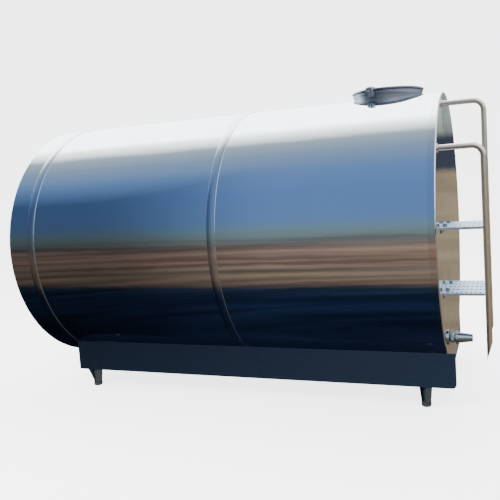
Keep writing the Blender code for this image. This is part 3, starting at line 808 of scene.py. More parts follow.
class Bolts(NodeMaker):
    """Hexagon heads on washers at given points, turned to each point's facing direction."""

    def __init__(self) -> None:
        """Name the tree and its sizes."""
        super().__init__("bolt_heads", {"Head Radius": ("NodeSocketFloat", 0.007),
                                        "Head Height": ("NodeSocketFloat", 0.005),
                                        "Washer Radius": ("NodeSocketFloat", 0.010),
                                        "Washer Height": ("NodeSocketFloat", 0.0015)})

    def grow(self, sheet: NodeSheet, given: Node) -> Socket:
        """Instance a washer and a head on every point.

        Args:
            sheet: Tree helper.
            given: Group input node.

        Returns:
            Geometry socket of the instances.
        """
        parts = sheet.add("GeometryNodeJoinGeometry")
        lift = 0.0
        for label, sides in (("Washer", 16), ("Head", 6)):
            tall = given.outputs[f"{label} Height"]
            solid = sheet.add("GeometryNodeMeshCylinder", {
                "Vertices": sides, "Radius": given.outputs[f"{label} Radius"], "Depth": tall})
            rise = sheet.maths("ADD", sheet.maths("MULTIPLY", tall, 0.5), lift)
            offset = sheet.add("ShaderNodeCombineXYZ", {"Z": rise})
            move = sheet.add("GeometryNodeTransform", {"Geometry": solid.outputs["Mesh"],
                                                       "Translation": offset.outputs["Vector"]})
            sheet.join(move.outputs["Geometry"], parts.inputs["Geometry"])
            lift = given.outputs["Washer Height"]
        facing = sheet.add("GeometryNodeInputNamedAttribute", {"Name": "facing"}, data_type="FLOAT_VECTOR")
        aligned = sheet.add("FunctionNodeAlignRotationToVector", {"Vector": facing.outputs["Attribute"]},
                            axis="Z")
        row = sheet.add("GeometryNodeInstanceOnPoints", {
            "Points": given.outputs["Geometry"], "Instance": parts.outputs["Geometry"],
            "Rotation": aligned.outputs["Rotation"]})
        return row.outputs["Instances"]

    @staticmethod
    def points(places: list[tuple[Vector, Vector]]) -> bpy.types.Mesh:
        """Make a mesh of loose points with their facing directions.

        Args:
            places: Pairs of position and direction.

        Returns:
            The point mesh.
        """
        mesh = bpy.data.meshes.new("bolt_points")
        mesh.from_pydata([place for place, _ in places], [], [])
        facing = mesh.attributes.new("facing", "FLOAT_VECTOR", "POINT")
        for entry, (_, direction) in zip(facing.data, places):
            entry.vector = direction
        return mesh


class SlottedPlate(NodeMaker):
    """Flat plate with punched slots and two turned-down lips, centred on its own origin."""

    def __init__(self) -> None:
        """Name the tree and its sizes."""
        super().__init__("slotted_plate", {"Length": ("NodeSocketFloat", 0.23),
                                           "Width": ("NodeSocketFloat", 0.41),
                                           "Thickness": ("NodeSocketFloat", 0.004),
                                           "Lip Drop": ("NodeSocketFloat", 0.014),
                                           "Columns": ("NodeSocketInt", 8),
                                           "Rows": ("NodeSocketInt", 5),
                                           "Slot Length": ("NodeSocketFloat", 0.018),
                                           "Slot Width": ("NodeSocketFloat", 0.022)})

    def grow(self, sheet: NodeSheet, given: Node) -> Socket:
        """Punch a grid of slots out of the plate and add its lips.

        Args:
            sheet: Tree helper.
            given: Group input node.

        Returns:
            Geometry socket of the plate.
        """
        wanted = given.outputs
        thick = wanted["Thickness"]
        plate = self.block(sheet, wanted["Length"], wanted["Width"], thick)
        grid = sheet.add("GeometryNodeMeshGrid", {
            "Size X": sheet.maths("SUBTRACT", wanted["Length"], 0.050),
            "Size Y": sheet.maths("SUBTRACT", wanted["Width"], 0.050),
            "Vertices X": wanted["Columns"], "Vertices Y": wanted["Rows"]})
        punch = sheet.add("GeometryNodeMeshCylinder", {"Vertices": 12, "Radius": 0.5, "Depth": 1.0})
        scale = sheet.add("ShaderNodeCombineXYZ", {"X": wanted["Slot Length"], "Y": wanted["Slot Width"],
                                                   "Z": sheet.maths("MULTIPLY", thick, 3.0)})
        slots = sheet.add("GeometryNodeInstanceOnPoints", {
            "Points": grid.outputs["Mesh"], "Instance": punch.outputs["Mesh"],
            "Scale": scale.outputs["Vector"]})
        solid = sheet.add("GeometryNodeRealizeInstances", {"Geometry": slots.outputs["Instances"]})
        punched = sheet.add("GeometryNodeMeshBoolean", operation="DIFFERENCE")
        sheet.join(plate.outputs["Mesh"], punched.inputs["Mesh 1"])
        sheet.join(solid.outputs["Geometry"], punched.inputs["Mesh 2"])
        whole = sheet.add("GeometryNodeJoinGeometry", {"Geometry": punched.outputs["Mesh"]})
        out = sheet.maths("MULTIPLY", sheet.maths("SUBTRACT", wanted["Width"], thick), 0.5)
        drop = sheet.maths("SUBTRACT", wanted["Lip Drop"], thick)
        down = sheet.maths("MULTIPLY", wanted["Lip Drop"], -0.5)
        for sign in (-1.0, 1.0):
            lip = self.block(sheet, wanted["Length"], thick, drop)
            offset = sheet.add("ShaderNodeCombineXYZ", {"Y": sheet.maths("MULTIPLY", out, sign), "Z": down})
            move = sheet.add("GeometryNodeTransform", {"Geometry": lip.outputs["Mesh"],
                                                       "Translation": offset.outputs["Vector"]})
            sheet.join(move.outputs["Geometry"], whole.inputs["Geometry"])
        return whole.outputs["Geometry"]

    @staticmethod
    def block(sheet: NodeSheet, x: Socket, y: Socket,
              z: Socket) -> Node:
        """Add a box node with linked sizes.

        Args:
            sheet: Tree helper.
            x: Size along X.
            y: Size along Y.
            z: Size along Z.

        Returns:
            The box node.
        """
        size = sheet.add("ShaderNodeCombineXYZ", {"X": x, "Y": y, "Z": z})
        return sheet.add("GeometryNodeMeshCube", {"Size": size.outputs["Vector"]})


# --- sub-assemblies -------------------------------------------------------------------------------
@dataclass
class TankShell:
    """Insulated shell: two ends, two courses, the seam bands and their welds."""

    knuckle: float = 0.020
    sharp_knuckle: float = 0.007
    support: float = 0.0006
    wall: float = 0.060
    sides: int = 256
    wave: float = 0.0007
    seam_bead: float = 0.0009
    axis: Vector = field(init=False)
    radius: float = field(init=False)

    def __post_init__(self) -> None:
        """Read the axis and the radius from the frame."""
        low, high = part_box("shell_course_left")
        self.axis = Vector((0.0, 0.0, (low.z + high.z) / 2))
        self.radius = (high.z - low.z) / 2

    def rolled(self, work: Work) -> Work:
        """Give the outer skin the slow waves of rolled sheet.

        Args:
            work: Mesh of a course or an end.

        Returns:
            The same mesh.
        """
        for vert in work.verts:
            off = vert.co - self.axis
            out = math.hypot(off.y, off.z)
            if out < self.radius - self.wall / 2:
                continue
            slow = noise.noise(Vector((off.x * 1.1, off.y * 2.6, off.z * 2.6)))
            fine = noise.noise(Vector((off.x * 3.0 + 7, off.y * 7.0, off.z * 7.0)))
            grow = 1 + (slow * self.wave + fine * self.wave * 0.22 - self.wave * 0.4) / out
            vert.co.y = off.y * grow
            vert.co.z = self.axis.z + off.z * grow
        return work

    def course(self, node: str, hole: Optional[Work]) -> None:
        """Build one rolled length of the shell.

        Args:
            node: Frame node that it stands for.
            hole: Cutter for the manway, if any.
        """
        low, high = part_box(node)
        length = high.x - low.x
        spans = max(4, round(length / 0.030))
        outer = [(self.radius, length * step / spans) for step in range(spans + 1)]
        profile = outer + [(self.radius - self.wall, length), (self.radius - self.wall, 0.0)]
        work = Lathe(Vector((low.x, 0, self.axis.z)), Along.X, self.sides).turn(profile)
        work = self.rolled(work)
        piece(f"{node}_skin", carved(work, hole) if hole else work, POLISHED, Body.TANK, (node,))

    def end(self, node: str, along: Along) -> None:
        """Build one end with a gently uneven flat face, its knuckle and its flange.

        Args:
            node: Frame node that it stands for.
            along: Direction that the face looks in.
        """
        low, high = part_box(node)
        face = low.x if along is Along.MINUS_X else high.x
        depth = high.x - low.x
        knuckle = self.knuckle if along is Along.MINUS_X else self.sharp_knuckle
        flat = self.radius - knuckle
        rings = [(flat * step / 22, 0.0) for step in range(22)] + [(flat - self.support, 0.0), (flat, 0.0)]
        corner = bow((flat, -knuckle), knuckle, 90, 0, 10)[1:]
        flange = depth if along is Along.MINUS_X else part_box("shell_course_right")[1].x
        flange = flange if along is Along.MINUS_X else face - flange
        spans = max(2, round((flange - knuckle) / 0.030))
        side = [(self.radius, -knuckle - self.support)]
        side += [(self.radius, -knuckle - (flange - knuckle) * step / spans) for step in range(1, spans + 1)]
        inner = self.radius - self.wall
        back = [(inner, side[-1][1]), (inner, -self.wall), (0.0, -self.wall)]
        work = Lathe(Vector((face, 0, self.axis.z)), along, self.sides).turn(rings + corner + side + back)
        for vert in work.verts:
            if abs(vert.co.x - face) < 1e-5:
                out = math.hypot(vert.co.y, vert.co.z - self.axis.z)
                share = max(0.0, 1 - out / flat)
                dent = (0.5 + noise.noise(Vector((3.0, vert.co.y * 2.2, vert.co.z * 2.2)))) * 0.0016
                vert.co.x += (-1 if along is Along.X else 1) * dent * min(1.0, 3 * share)
        piece(f"{node}_skin", self.rolled(work), END_FACE if along is Along.X else POLISHED, Body.TANK,
              (node,))

    def band(self, node: str) -> None:
        """Build one ground band with rounded edges and a weld on each side.

        Args:
            node: Frame node that it stands for.
        """
        low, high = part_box(node)
        width, top = high.x - low.x, (high.z - low.z) / 2
        edge = 0.0014
        profile = [(top - edge, 0.0)] + bow((top - edge, edge), edge, -90, 0, 3)[1:]
        profile += bow((top - edge, width - edge), edge, 0, 90, 3)
        profile += [(self.radius - 0.004, width), (self.radius - 0.004, 0.0)]
        piece(f"{node}_plate", Lathe(Vector((low.x, 0, self.axis.z)), Along.X, self.sides).turn(profile),
              SEAM, Body.TANK, (node,))
        loops = [[Vector((x, self.radius * math.cos(a), self.axis.z + self.radius * math.sin(a)))
                  for a in (2 * math.pi * step / 180 for step in range(180))]
                 for x in (low.x, high.x)]
        # The seam welds take the darker leg finish, which paints the dark shade line along the band's edge
        # onto the weld beads.
        beads = WeldBead().mesh(WeldBead.paths(loops), LEG, Spacing=0.0075, Bead_Length=0.0055,
                                Bead_Width=self.seam_bead)
        placed(f"{node}_welds", beads, LEG, Body.TANK)

    def build(self, hole: Work) -> None:
        """Build the whole shell.

        Args:
            hole: Cutter for the manway.
        """
        self.end("tank_end_left", Along.MINUS_X)
        self.end("tank_end_right", Along.X)
        self.course("shell_course_left", None)
        self.course("shell_course_right", hole)
        self.band("seam_band_left")
        self.band("seam_band_middle")


@dataclass
class Manway:
    """Neck, gasket, hinged lid and its fittings."""

    flare: float = 0.010
    neck_wall: float = 0.030
    lip: float = 0.006
    lid_roll: float = 0.006
    sides: int = 128

    def __post_init__(self) -> None:
        """Read the neck's place from the frame."""
        low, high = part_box("manway_neck")
        self.low, self.high = low, high
        self.centre = Vector(((low.x + high.x) / 2, (low.y + high.y) / 2, 0.0))
        self.rim = (high.x - low.x) / 2
        self.pipe = self.rim - self.flare

    def hole(self) -> Work:
        """Make the cutter for the hole in the shell."""
        depth = self.high.z - 0.5
        return Lathe(self.centre + Vector((0, 0, 0.5)), Along.Z, self.sides).turn(
            [(0.0, 0.0), (self.pipe + 0.0003, 0.0), (self.pipe + 0.0003, depth + 0.5), (0.0, depth + 0.5)])

    def neck(self, shell: TankShell) -> None:
        """Build the neck with its rolled lip and the weld where it meets the shell.

        Args:
            shell: The shell that it passes through.
        """
        top, bottom = self.high.z, self.low.z
        crest = shell.axis.z + shell.radius
        inner = self.pipe - self.neck_wall
        flare = [(self.pipe + self.flare * (1 - math.cos(math.pi / 2 * t)),
                  crest + (top - self.lip - crest) * t) for t in (0.0, 0.2, 0.4, 0.6, 0.8, 1.0)]
        flare = [(min(r, self.rim - 0.0005), z) for r, z in flare]
        roll = bow((self.rim - self.lip / 2, top - self.lip / 2), self.lip / 2, -40, 90, 7)
        mouth = bow((inner + 0.005, top - 0.005), 0.005, 90, 180, 5)
        profile = [(self.pipe, bottom)] + flare + roll + mouth + [(inner, bottom)]
        piece("manway_neck_turned", Lathe(self.centre, Along.Z, self.sides).turn(profile), NECK_PAINTED_SHADE, Body.TANK,
              ("manway_neck",))
        loop = []
        for step in range(220):
            a = 2 * math.pi * step / 220
            y = (self.pipe + 0.001) * math.sin(a)
            z = shell.axis.z + math.sqrt(shell.radius ** 2 - y ** 2)
            loop.append(Vector((self.centre.x + (self.pipe + 0.001) * math.cos(a), y, z + 0.0005)))
        beads = WeldBead().mesh(WeldBead.paths([loop]), NECK_PAINTED_SHADE, Spacing=0.007, Bead_Length=0.0055,
                                Bead_Width=0.0042)
        placed("manway_neck_weld", beads, NECK_PAINTED_SHADE, Body.TANK)

    def gasket(self) -> None:
        """Build the gasket as a ring with rounded edges."""
        low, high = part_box("manway_gasket")
        outer, height = (high.x - low.x) / 2, high.z - low.z
        inner, soft = outer - 0.022, height / 2
        profile = bow((outer - soft, low.z + soft), soft, -90, 90, 8)
        profile += bow((inner + soft, low.z + soft), soft, 90, 270, 8)
        piece("lid_seal", Lathe(self.centre, Along.Z, self.sides).turn(profile), RUBBER, Body.TANK,
              ("manway_gasket",))

    def lid(self) -> None:
        """Build the dished lid with a rolled edge and a pressed ring, and its fittings."""
        low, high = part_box("manway_lid")
        edge, tall = (high.x - low.x) / 2, high.z - low.z
        roll, rise, ring = self.lid_roll, 0.013, edge - 0.040
        flat, crown = low.z + rise, tall - rise
        profile = [(0.0, low.z), (edge - roll, low.z)]
        profile += bow((edge - roll, low.z + roll), roll, -90, 90, 10)[1:]
        profile += [(edge - 0.012, flat), (ring + 0.010, flat)]
        profile += [(ring + 0.009 * math.cos(a), flat + 0.0022 * math.sin(a))
                    for a in (math.pi * step / 8 for step in range(1, 8))]
        profile += [(r, flat + crown * math.cos(math.pi / 2 * r / ring) ** 0.9)
                    for r in (ring * (1 - step / 14) for step in range(1, 14))]
        profile += [(0.0, high.z)]
        piece("lid_dish", Lathe(self.centre, Along.Z, self.sides).turn(profile), NECK_PAINTED_SHADE, Body.LID,
              ("manway_lid",))
        for node, word, width, body in (("lid_strap", "bar", 0.0012, Body.LID),
                                        ("hinge_bracket", "plate", 0.0010, Body.TANK),
                                        ("hinge_pin", "turned", 0.0008, Body.TANK)):
            piece(f"{node}_{word}", softened(node, width), BRUSHED, body, (node,))
        piece("lid_grip_bow", softened("lid_grip", 0.0004, 1, 80.0), BRUSHED, Body.LID, ("lid_grip",),
              smooth_below=60.0)

    def build(self, shell: TankShell) -> None:
        """Build the manway on the shell.

        Args:
            shell: The shell that it stands on.
        """
        self.neck(shell)
        self.gasket()
        self.lid()


@dataclass
class Base:
    """Skirt panels, saddles, cover strips, legs and feet."""

    leg_sides: int = 48
    taper: float = 0.011
    foot_round: float = 0.012
    foot_rings: tuple[float, float] = (0.018, 0.025)

    def panels(self) -> None:
        """Round the edges of the skirt panels, the saddles and the cover strips."""
        skirts = [f"skirt_{side}" for side in ("front_left", "front_right", "rear_left", "rear_right",
                                               "end_left", "end_right")]
        for nodes, word, width, steps, smooth in (
                (skirts, "panel", 0.0016, 3, 10.0),
                (("saddle_left", "saddle_right"), "beam", 0.003, 3, 35.0),
                (("cover_strip_front", "cover_strip_rear"), "plate", 0.0007, 2, 10.0)):
            for node in nodes:
                piece(f"{node}_{word}", softened(node, width, steps), SKIRT, Body.TANK, (node,),
                      smooth_below=smooth)

    def leg(self, where: str) -> None:
        """Build one tapered leg and its foot.

        Args:
            where: Corner name, as in the frame's nodes.
        """
        low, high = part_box(f"leg_{where}")
        centre = Vector(((low.x + high.x) / 2, (low.y + high.y) / 2, 0.0))
        top = (high.x - low.x) / 2
        bottom = top - self.taper
        foot_low, foot_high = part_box(f"foot_{where}")
        profile = [(0.0, low.z), (bottom - 0.002, low.z), (bottom, low.z + 0.002)]
        profile += [(bottom + (top - bottom) * t, low.z + (high.z - low.z) * t) for t in (0.25, 0.5, 0.75)]
        profile += [(top - 0.001, high.z - 0.008), (top, high.z - 0.006), (top, high.z), (0.0, high.z)]
        lathe = Lathe(centre, Along.Z, self.leg_sides)
        piece(f"leg_{where}_taper", lathe.turn(profile), LEG, Body.TANK, (f"leg_{where}",))
        pad = (foot_high.x - foot_low.x) / 2
        rubber = [(0.0, 0.0)] + bow((pad - self.foot_round, self.foot_round), self.foot_round, -90, 0, 6)
        for height in self.foot_rings:
            rubber += [(pad, height - 0.002), (pad - 0.0015, height), (pad, height + 0.002)]
        rubber += [(pad, foot_high.z - 0.002), (pad - 0.002, foot_high.z), (0.0, foot_high.z)]
        piece(f"foot_{where}_pad", lathe.turn(rubber), RUBBER, Body.TANK, (f"foot_{where}",))

    def build(self) -> None:
        """Build the whole base."""
        self.panels()
        loops = []
        for where in ("front_left", "front_right", "rear_left", "rear_right"):
            self.leg(where)
            low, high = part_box(f"leg_{where}")
            radius = (high.x - low.x) / 2
            loops.append([Vector(((low.x + high.x) / 2 + radius * math.cos(a),
                                  (low.y + high.y) / 2 + radius * math.sin(a), high.z - 0.0008))
                          for a in (2 * math.pi * step / 40 for step in range(40))])
        beads = WeldBead().mesh(WeldBead.paths(loops), LEG, Spacing=0.006, Bead_Length=0.0045,
                                Bead_Width=0.0028)
        placed("leg_welds", beads, LEG, Body.TANK)
        for node in ("leg_gusset_front", "leg_gusset_rear"):
            piece(f"{node}_plate", softened(node, 0.0012), LEG, Body.TANK, (node,))


@dataclass
class Ladder:
    """Bent rails, their foot plates and the punched treads."""

    bend: float = 0.060
    sides: int = 36
    slant: float = 0.105
    shade_sheet_drop: float = 0.0085

    def rail(self, word: str) -> list[Vector]:
        """Build one rail and its foot plate.

        Args:
            word: front or rear.

        Returns:
            The circle where the rail is welded to its plate.
        """
        low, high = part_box(f"ladder_rail_{word}")
        radius = (high.y - low.y) / 2
        y, out, top = (low.y + high.y) / 2, high.x - radius, high.z - radius
        turn = bow((out - self.bend, top - self.bend), self.bend, 90, 0, 16)
        bottom = low.z
        path = [Vector((low.x, y, top))] + [Vector((x, y, z)) for x, z in turn] + [Vector((out, y, bottom))]
        work = swept(path, radius, self.sides, Vector((0, 1, 0)))
        for vert in work.verts:
            if vert.co.z < bottom + 0.0001:
                vert.co.z += self.slant * (vert.co.x - (out - radius)) / (2 * radius)
        piece(f"ladder_rail_{word}_tube", work, RAIL, Body.TANK, (f"ladder_rail_{word}",))
        foot_low, foot_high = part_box(f"rail_foot_{word}")
        disc, thick = (foot_high.y - foot_low.y) / 2, foot_high.x - foot_low.x
        profile = [(0.0, 0.0), (disc, 0.0)] + bow((disc - 0.002, thick - 0.002), 0.002, 0, 90, 4)
        profile += [(0.0, thick)]
        piece(f"rail_foot_{word}_plate", Lathe(Vector((foot_low.x, y, top)), Along.X, 48).turn(profile), RAIL,
              Body.TANK, (f"rail_foot_{word}",))
        return [Vector((foot_high.x + 0.001, y + radius * math.cos(a), top + radius * math.sin(a)))
                for a in (2 * math.pi * step / 32 for step in range(32))]

    def tread(self, word: str) -> None:
        """Build one punched tread over a dark sheet of painted shade under its slots, its cleat and the two
        bolts that hold it.

        Args:
            word: upper or lower.
        """
        low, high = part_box(f"ladder_tread_{word}")
        plate = SlottedPlate().mesh(bpy.data.meshes.new("blank"), TREAD, Length=high.x - low.x,
                                    Width=high.y - low.y, Lip_Drop=high.z - low.z)
        place = Matrix.Translation(Vector(((low.x + high.x) / 2, (low.y + high.y) / 2, high.z - 0.002)))
        plate.transform(place)
        placed(f"ladder_tread_{word}_plate", plate, TREAD, Body.TANK, (f"ladder_tread_{word}",))
        # Dark sheet under the slots: painted shade that stands in for the shade seen through the punched
        # tread.
        shade_sheet = bmesh.new()
        bmesh.ops.create_cube(shade_sheet, size=1.0)
        bmesh.ops.scale(shade_sheet, verts=shade_sheet.verts, vec=(high.x - low.x - 0.002, high.y - low.y - 0.009, 0.003))
        bmesh.ops.translate(shade_sheet, verts=shade_sheet.verts, vec=((low.x + high.x) / 2, (low.y + high.y) / 2,
                                                         high.z - self.shade_sheet_drop))
        piece(f"ladder_tread_{word}_tray", shade_sheet, SKIRT, Body.TANK)
        piece(f"tread_cleat_{word}_angle", softened(f"tread_cleat_{word}", 0.0010), TREAD, Body.TANK,
              (f"tread_cleat_{word}",))
        spots = [(Vector((low.x + 0.020, y, high.z)), Vector((0, 0, 1)))
                 for y in (low.y + 0.085, high.y - 0.085)]
        heads = Bolts().mesh(Bolts.points(spots), NECK_PAINTED_SHADE, Head_Radius=0.011, Head_Height=0.014,
                             Washer_Radius=0.016)
        placed(f"ladder_tread_{word}_bolts", heads, NECK_PAINTED_SHADE, Body.TANK)

    def build(self) -> None:
        """Build the whole ladder."""
        loops = [self.rail("front"), self.rail("rear")]
        beads = WeldBead().mesh(WeldBead.paths(loops), RAIL, Spacing=0.0045, Bead_Length=0.0035,
                                Bead_Width=0.0022)
        placed("rail_welds", beads, RAIL, Body.TANK)
        for word in ("upper", "lower"):
            self.tread(word)


@dataclass
class Outlet:
    """Bolted flange, knurled valve body, union ring and tapered spout."""

    flutes: int = 24
    lugs: int = 6
    sides: int = 144
    spout_tip: float = 0.023
    spout_bore: float = 0.016

    def lathe(self, node: str) -> tuple[Lathe, float, float]:
        """Set a lathe on one of the outlet's nodes.

        Args:
            node: Name of the node.

        Returns:
            The lathe, the node's length and its radius.
        """
        low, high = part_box(node)
        centre = Vector((low.x, (low.y + high.y) / 2, (low.z + high.z) / 2))
        return Lathe(centre, Along.X, self.sides), high.x - low.x, (high.z - low.z) / 2

    def flange(self) -> None:
        """Build the flange and its four bolts."""
        lathe, thick, radius = self.lathe("outlet_flange")
        profile = [(0.0, 0.0), (radius, 0.0)] + bow((radius - 0.002, thick - 0.002), 0.002, 0, 90, 4)
        profile += [(0.0, thick)]
        piece("outlet_flange_disc", lathe.turn(profile), VALVE, Body.TANK, ("outlet_flange",))
        spots = []
        for step in range(4):
            a = math.radians(45 + 90 * step)
            spots.append((lathe.point(radius - 0.007, thick, a), Vector((1, 0, 0))))
        heads = Bolts().mesh(Bolts.points(spots), VALVE, Head_Radius=0.0042, Head_Height=0.0035,
                             Washer_Radius=0.0060, Washer_Height=0.0010)
        placed("outlet_flange_bolts", heads, VALVE, Body.TANK)

    def valve(self) -> None:
        """Build the rounded valve body with its knurled girdle."""
        lathe, length, radius = self.lathe("valve_body")
        ends = radius * 0.66
        bulge = [(ends + (radius - ends) * math.sin(math.pi * t) ** 0.7, length * t)
                 for t in (0.06 + 0.88 * step / 16 for step in range(17))]

        def knurl(held: float, height: float, angle: float) -> float:
            """Cut shallow flutes where the body is widest.

            Args:
                held: Radius before the flutes.
                height: Distance along the body; not used.
                angle: Turn about the axis.

            Returns:
                The fluted radius.
            """
            depth = 0.0022 * max(0.0, (held - radius * 0.86) / (radius * 0.14))
            return held - depth * (0.5 + 0.5 * math.cos(self.flutes * angle)) ** 2

        profile = [(0.0, 0.0), (ends, 0.0)] + bulge + [(ends, length), (0.0, length)]
        piece("valve_body_knurled", lathe.turn(profile, knurl), VALVE, Body.TANK, ("valve_body",))

    def union(self) -> None:
        """Build the union ring with its spanner lugs."""
        lathe, length, radius = self.lathe("union_ring")
        body = radius - 0.004
        profile = [(0.0, 0.0), (body - 0.003, 0.0), (body, 0.003), (body, length - 0.003),
                   (body - 0.003, length), (0.0, length)]

        def lug(held: float, height: float, angle: float) -> float:
            """Raise the lugs at even steps round the ring.

            Args:
                held: Radius before the lugs.
                height: Distance along the ring; not used.
                angle: Turn about the axis.

            Returns:
                The radius with its lug.
            """
            peak = max(0.0, math.cos(self.lugs * angle)) ** 0.5
            return held + 0.004 * peak if held > body - 0.004 else held

        piece("union_ring_lugged", lathe.turn(profile, lug), VALVE, Body.TANK, ("union_ring",))

    def spout(self) -> None:
        """Build the tapered spout with its bore, end bead and two small vents on top."""
        lathe, length, radius = self.lathe("outlet_spout")
        tip, bore = self.spout_tip, self.spout_bore
        slope = [(radius - 0.002 + (tip - radius + 0.002) * t, 0.004 + (length - 0.010) * t)
                 for t in (step / 10 for step in range(11))]
        profile = [(0.0, 0.0), (radius, 0.0), (radius, 0.003)] + slope
        profile += [(tip, length - 0.001), (tip - 0.001, length), (bore, length), (bore, length - 0.020),
                    (0.0, length - 0.020)]
        work = lathe.turn(profile)
        for share in (0.34, 0.62):
            x = lathe.centre.x + length * share
            top = radius + (tip - radius) * share
            drill = Lathe(Vector((x, lathe.centre.y, lathe.centre.z + top - 0.006)), Along.Z, 24)
            work = carved(work, drill.turn([(0.0, 0.0), (0.0042, 0.0), (0.0042, 0.020), (0.0, 0.020)]))
        piece("outlet_spout_cone", work, VALVE, Body.TANK, ("outlet_spout",))

    def build(self) -> None:
        """Build the whole outlet."""
        self.flange()
        self.valve()
        self.union()
        self.spout()


# --- stage ----------------------------------------------------------------------------------------
@dataclass
class Studio:
    """Pale floor, soft light, surroundings that the steel mirrors, and the camera."""

    eye: Vector = field(default_factory=lambda: Vector((1.67412, -4.12903, 1.43816)))
    yaw: float = -0.34726
    pitch: float = -0.09283
    roll: float = -0.0654
    lens: float = 591.922 / 500 * 36
    shift: tuple[float, float] = (-0.080, -0.0243)
    backdrop: Colour = (0.93, 0.94, 0.95)
    backdrop_strength: float = 4.6
    floor_glow: float = 3.4
    fill_colour: Colour = (0.90, 0.92, 0.95)
    fill: float = 1.5
    floor_size: float = 150.0

    def floor(self) -> None:
        """Lay a large pale floor with a faint tone change."""
        work = bmesh.new()
        bmesh.ops.create_grid(work, x_segments=8, y_segments=8, size=self.floor_size)
        mesh = bpy.data.meshes.new("studio_floor")
        work.to_mesh(mesh)
        work.free()
        made = bpy.data.materials.new("studio_floor")
        made.use_nodes = True
        sheet = NodeSheet(made.node_tree)
        shader = made.node_tree.nodes["Principled BSDF"]
        place = sheet.add("ShaderNodeTexCoord").outputs["Object"]
        tone = sheet.add("ShaderNodeTexNoise", {"Vector": place, "Scale": 0.6})
        pale = sheet.mix(tone.outputs["Fac"], (0.80, 0.81, 0.82), (0.84, 0.845, 0.85))
        for label, value in (("Base Color", pale), ("Roughness", 0.9), ("Emission Color", self.backdrop),
                             ("Emission Strength", self.floor_glow)):
            sheet.feed(shader.inputs[label], value)
        mesh.materials.append(made)
        item = bpy.data.objects.new("studio_floor", mesh)
        item.visible_glossy = False
        item.visible_diffuse = False
        bpy.context.scene.collection.objects.link(item)

    def surroundings(self) -> None:
        """Set the world: pale to the eye, and bands of sky, horizon and ground in the steel."""
        world = bpy.data.worlds.new("studio")
        world.use_nodes = True
        bpy.context.scene.world = world
        sheet = NodeSheet(world.node_tree)
        for node in list(world.node_tree.nodes):
            world.node_tree.nodes.remove(node)
        ray = sheet.add("ShaderNodeTexCoord").outputs["Generated"]
        parts = sheet.add("ShaderNodeSeparateXYZ", {0: ray})
        seen = sheet.add("ShaderNodeLightPath")
        ahead = self.reach(sheet, parts.outputs["X"], -0.05, 0.02)
        mirrored = sheet.mix(ahead, self.side_view(sheet, ray, parts), self.end_view(sheet, ray, parts))
        steel, shown, soft = (
            sheet.add("ShaderNodeBackground", {"Color": colour, "Strength": strength}).outputs[0]
            for colour, strength in ((mirrored, 1.0), (self.backdrop, self.backdrop_strength),
                                     (self.fill_colour, self.fill)))
        first = sheet.add("ShaderNodeMixShader", {0: seen.outputs["Is Glossy Ray"], 1: soft, 2: steel})
        last = sheet.add("ShaderNodeMixShader", {0: seen.outputs["Is Camera Ray"], 1: first.outputs[0],
                                                 2: shown})
        sheet.add("ShaderNodeOutputWorld", {"Surface": last.outputs[0]})

    @staticmethod
    def reach(sheet: NodeSheet, value: Socket, start: float, end: float, low: float = 0.0,
              high: float = 1.0) -> Socket:
        """Map a value from one range to another, held at both ends.

        Args:
            sheet: Tree helper.
            value: Socket to map.
            start: Value that gives low.
            end: Value that gives high.
            low: Lowest result.
            high: Highest result.

        Returns:
            The mapped value socket.
        """
        limits = {"Value": value, "From Min": start, "From Max": end, "To Min": low, "To Max": high}
        return sheet.add("ShaderNodeMapRange", limits, interpolation_type="SMOOTHSTEP").outputs["Result"]

    @staticmethod
    def streaks(sheet: NodeSheet, ray: Socket, stretch: Colour, scale: float) -> Socket:
        """Noise on the ray's direction, stretched into streaks.

        Args:
            sheet: Tree helper.
            ray: Direction socket.
            stretch: Scale on each axis.
            scale: Overall scale.

        Returns:
            The noise value socket.
        """
        stretched = sheet.add("ShaderNodeMapping", {"Vector": ray, "Scale": stretch})
        return sheet.add("ShaderNodeTexNoise", {"Vector": stretched.outputs[0], "Scale": scale,
                                                "Detail": 4.0}).outputs["Fac"]

    @staticmethod
    def scaled(sheet: NodeSheet, colour: Socket, level: Socket) -> Socket:
        """Multiply a colour by a value.

        Args:
            sheet: Tree helper.
            colour: Colour socket.
            level: Value socket.

        Returns:
            Colour socket of the product.
        """
        grey = sheet.add("ShaderNodeCombineColor", {"Red": level, "Green": level, "Blue": level})
        return sheet.mix(1.0, colour, grey.outputs["Color"], "MULTIPLY")

    def side_view(self, sheet: NodeSheet, ray: Socket, parts: Node) -> Socket:
        """Bands that the shell mirrors, by the angle from the front horizon over the top.

        Args:
            sheet: Tree helper.
            ray: Direction socket.
            parts: Node that gives the direction's X, Y and Z.

        Returns:
            Colour socket of the bands.
        """
        wobble = self.streaks(sheet, ray, (0.8, 1.0, 1.0), 3.0)
        up = sheet.maths("ADD", parts.outputs["Z"],
                         sheet.maths("MULTIPLY", sheet.maths("SUBTRACT", wobble, 0.5), 0.05))
        turn = sheet.maths("ARCTAN2", up, sheet.maths("MULTIPLY", parts.outputs["Y"], -1.0))
        share = sheet.maths("ADD", sheet.maths("DIVIDE", turn, 2 * math.pi), 0.5)
        bands = sheet.ramp(share, [(at / 360 + 0.5, colour) for at, colour in self.sky()])
        low_streak = self.reach(sheet, self.streaks(sheet, ray, (0.7, 1.0, 9.0), 2.6), 0.30, 0.70, 0.58, 1.38)
        ground = self.reach(sheet, share, 0.5 + 4 / 360, 0.5 - 6 / 360)
        swing = sheet.maths("SUBTRACT", low_streak, 1.0)
        streaked = sheet.maths("ADD", sheet.maths("MULTIPLY", ground, swing), 1.0)
        dark = self.reach(sheet, parts.outputs["X"], -0.64, -0.34, 0.34, 1.0)
        overhead = self.reach(sheet, share, 0.5 + 22 / 360, 0.5 + 70 / 360)
        shade = sheet.maths("MULTIPLY", sheet.maths("MAXIMUM", dark, overhead), streaked)
        return self.scaled(sheet, bands, shade)

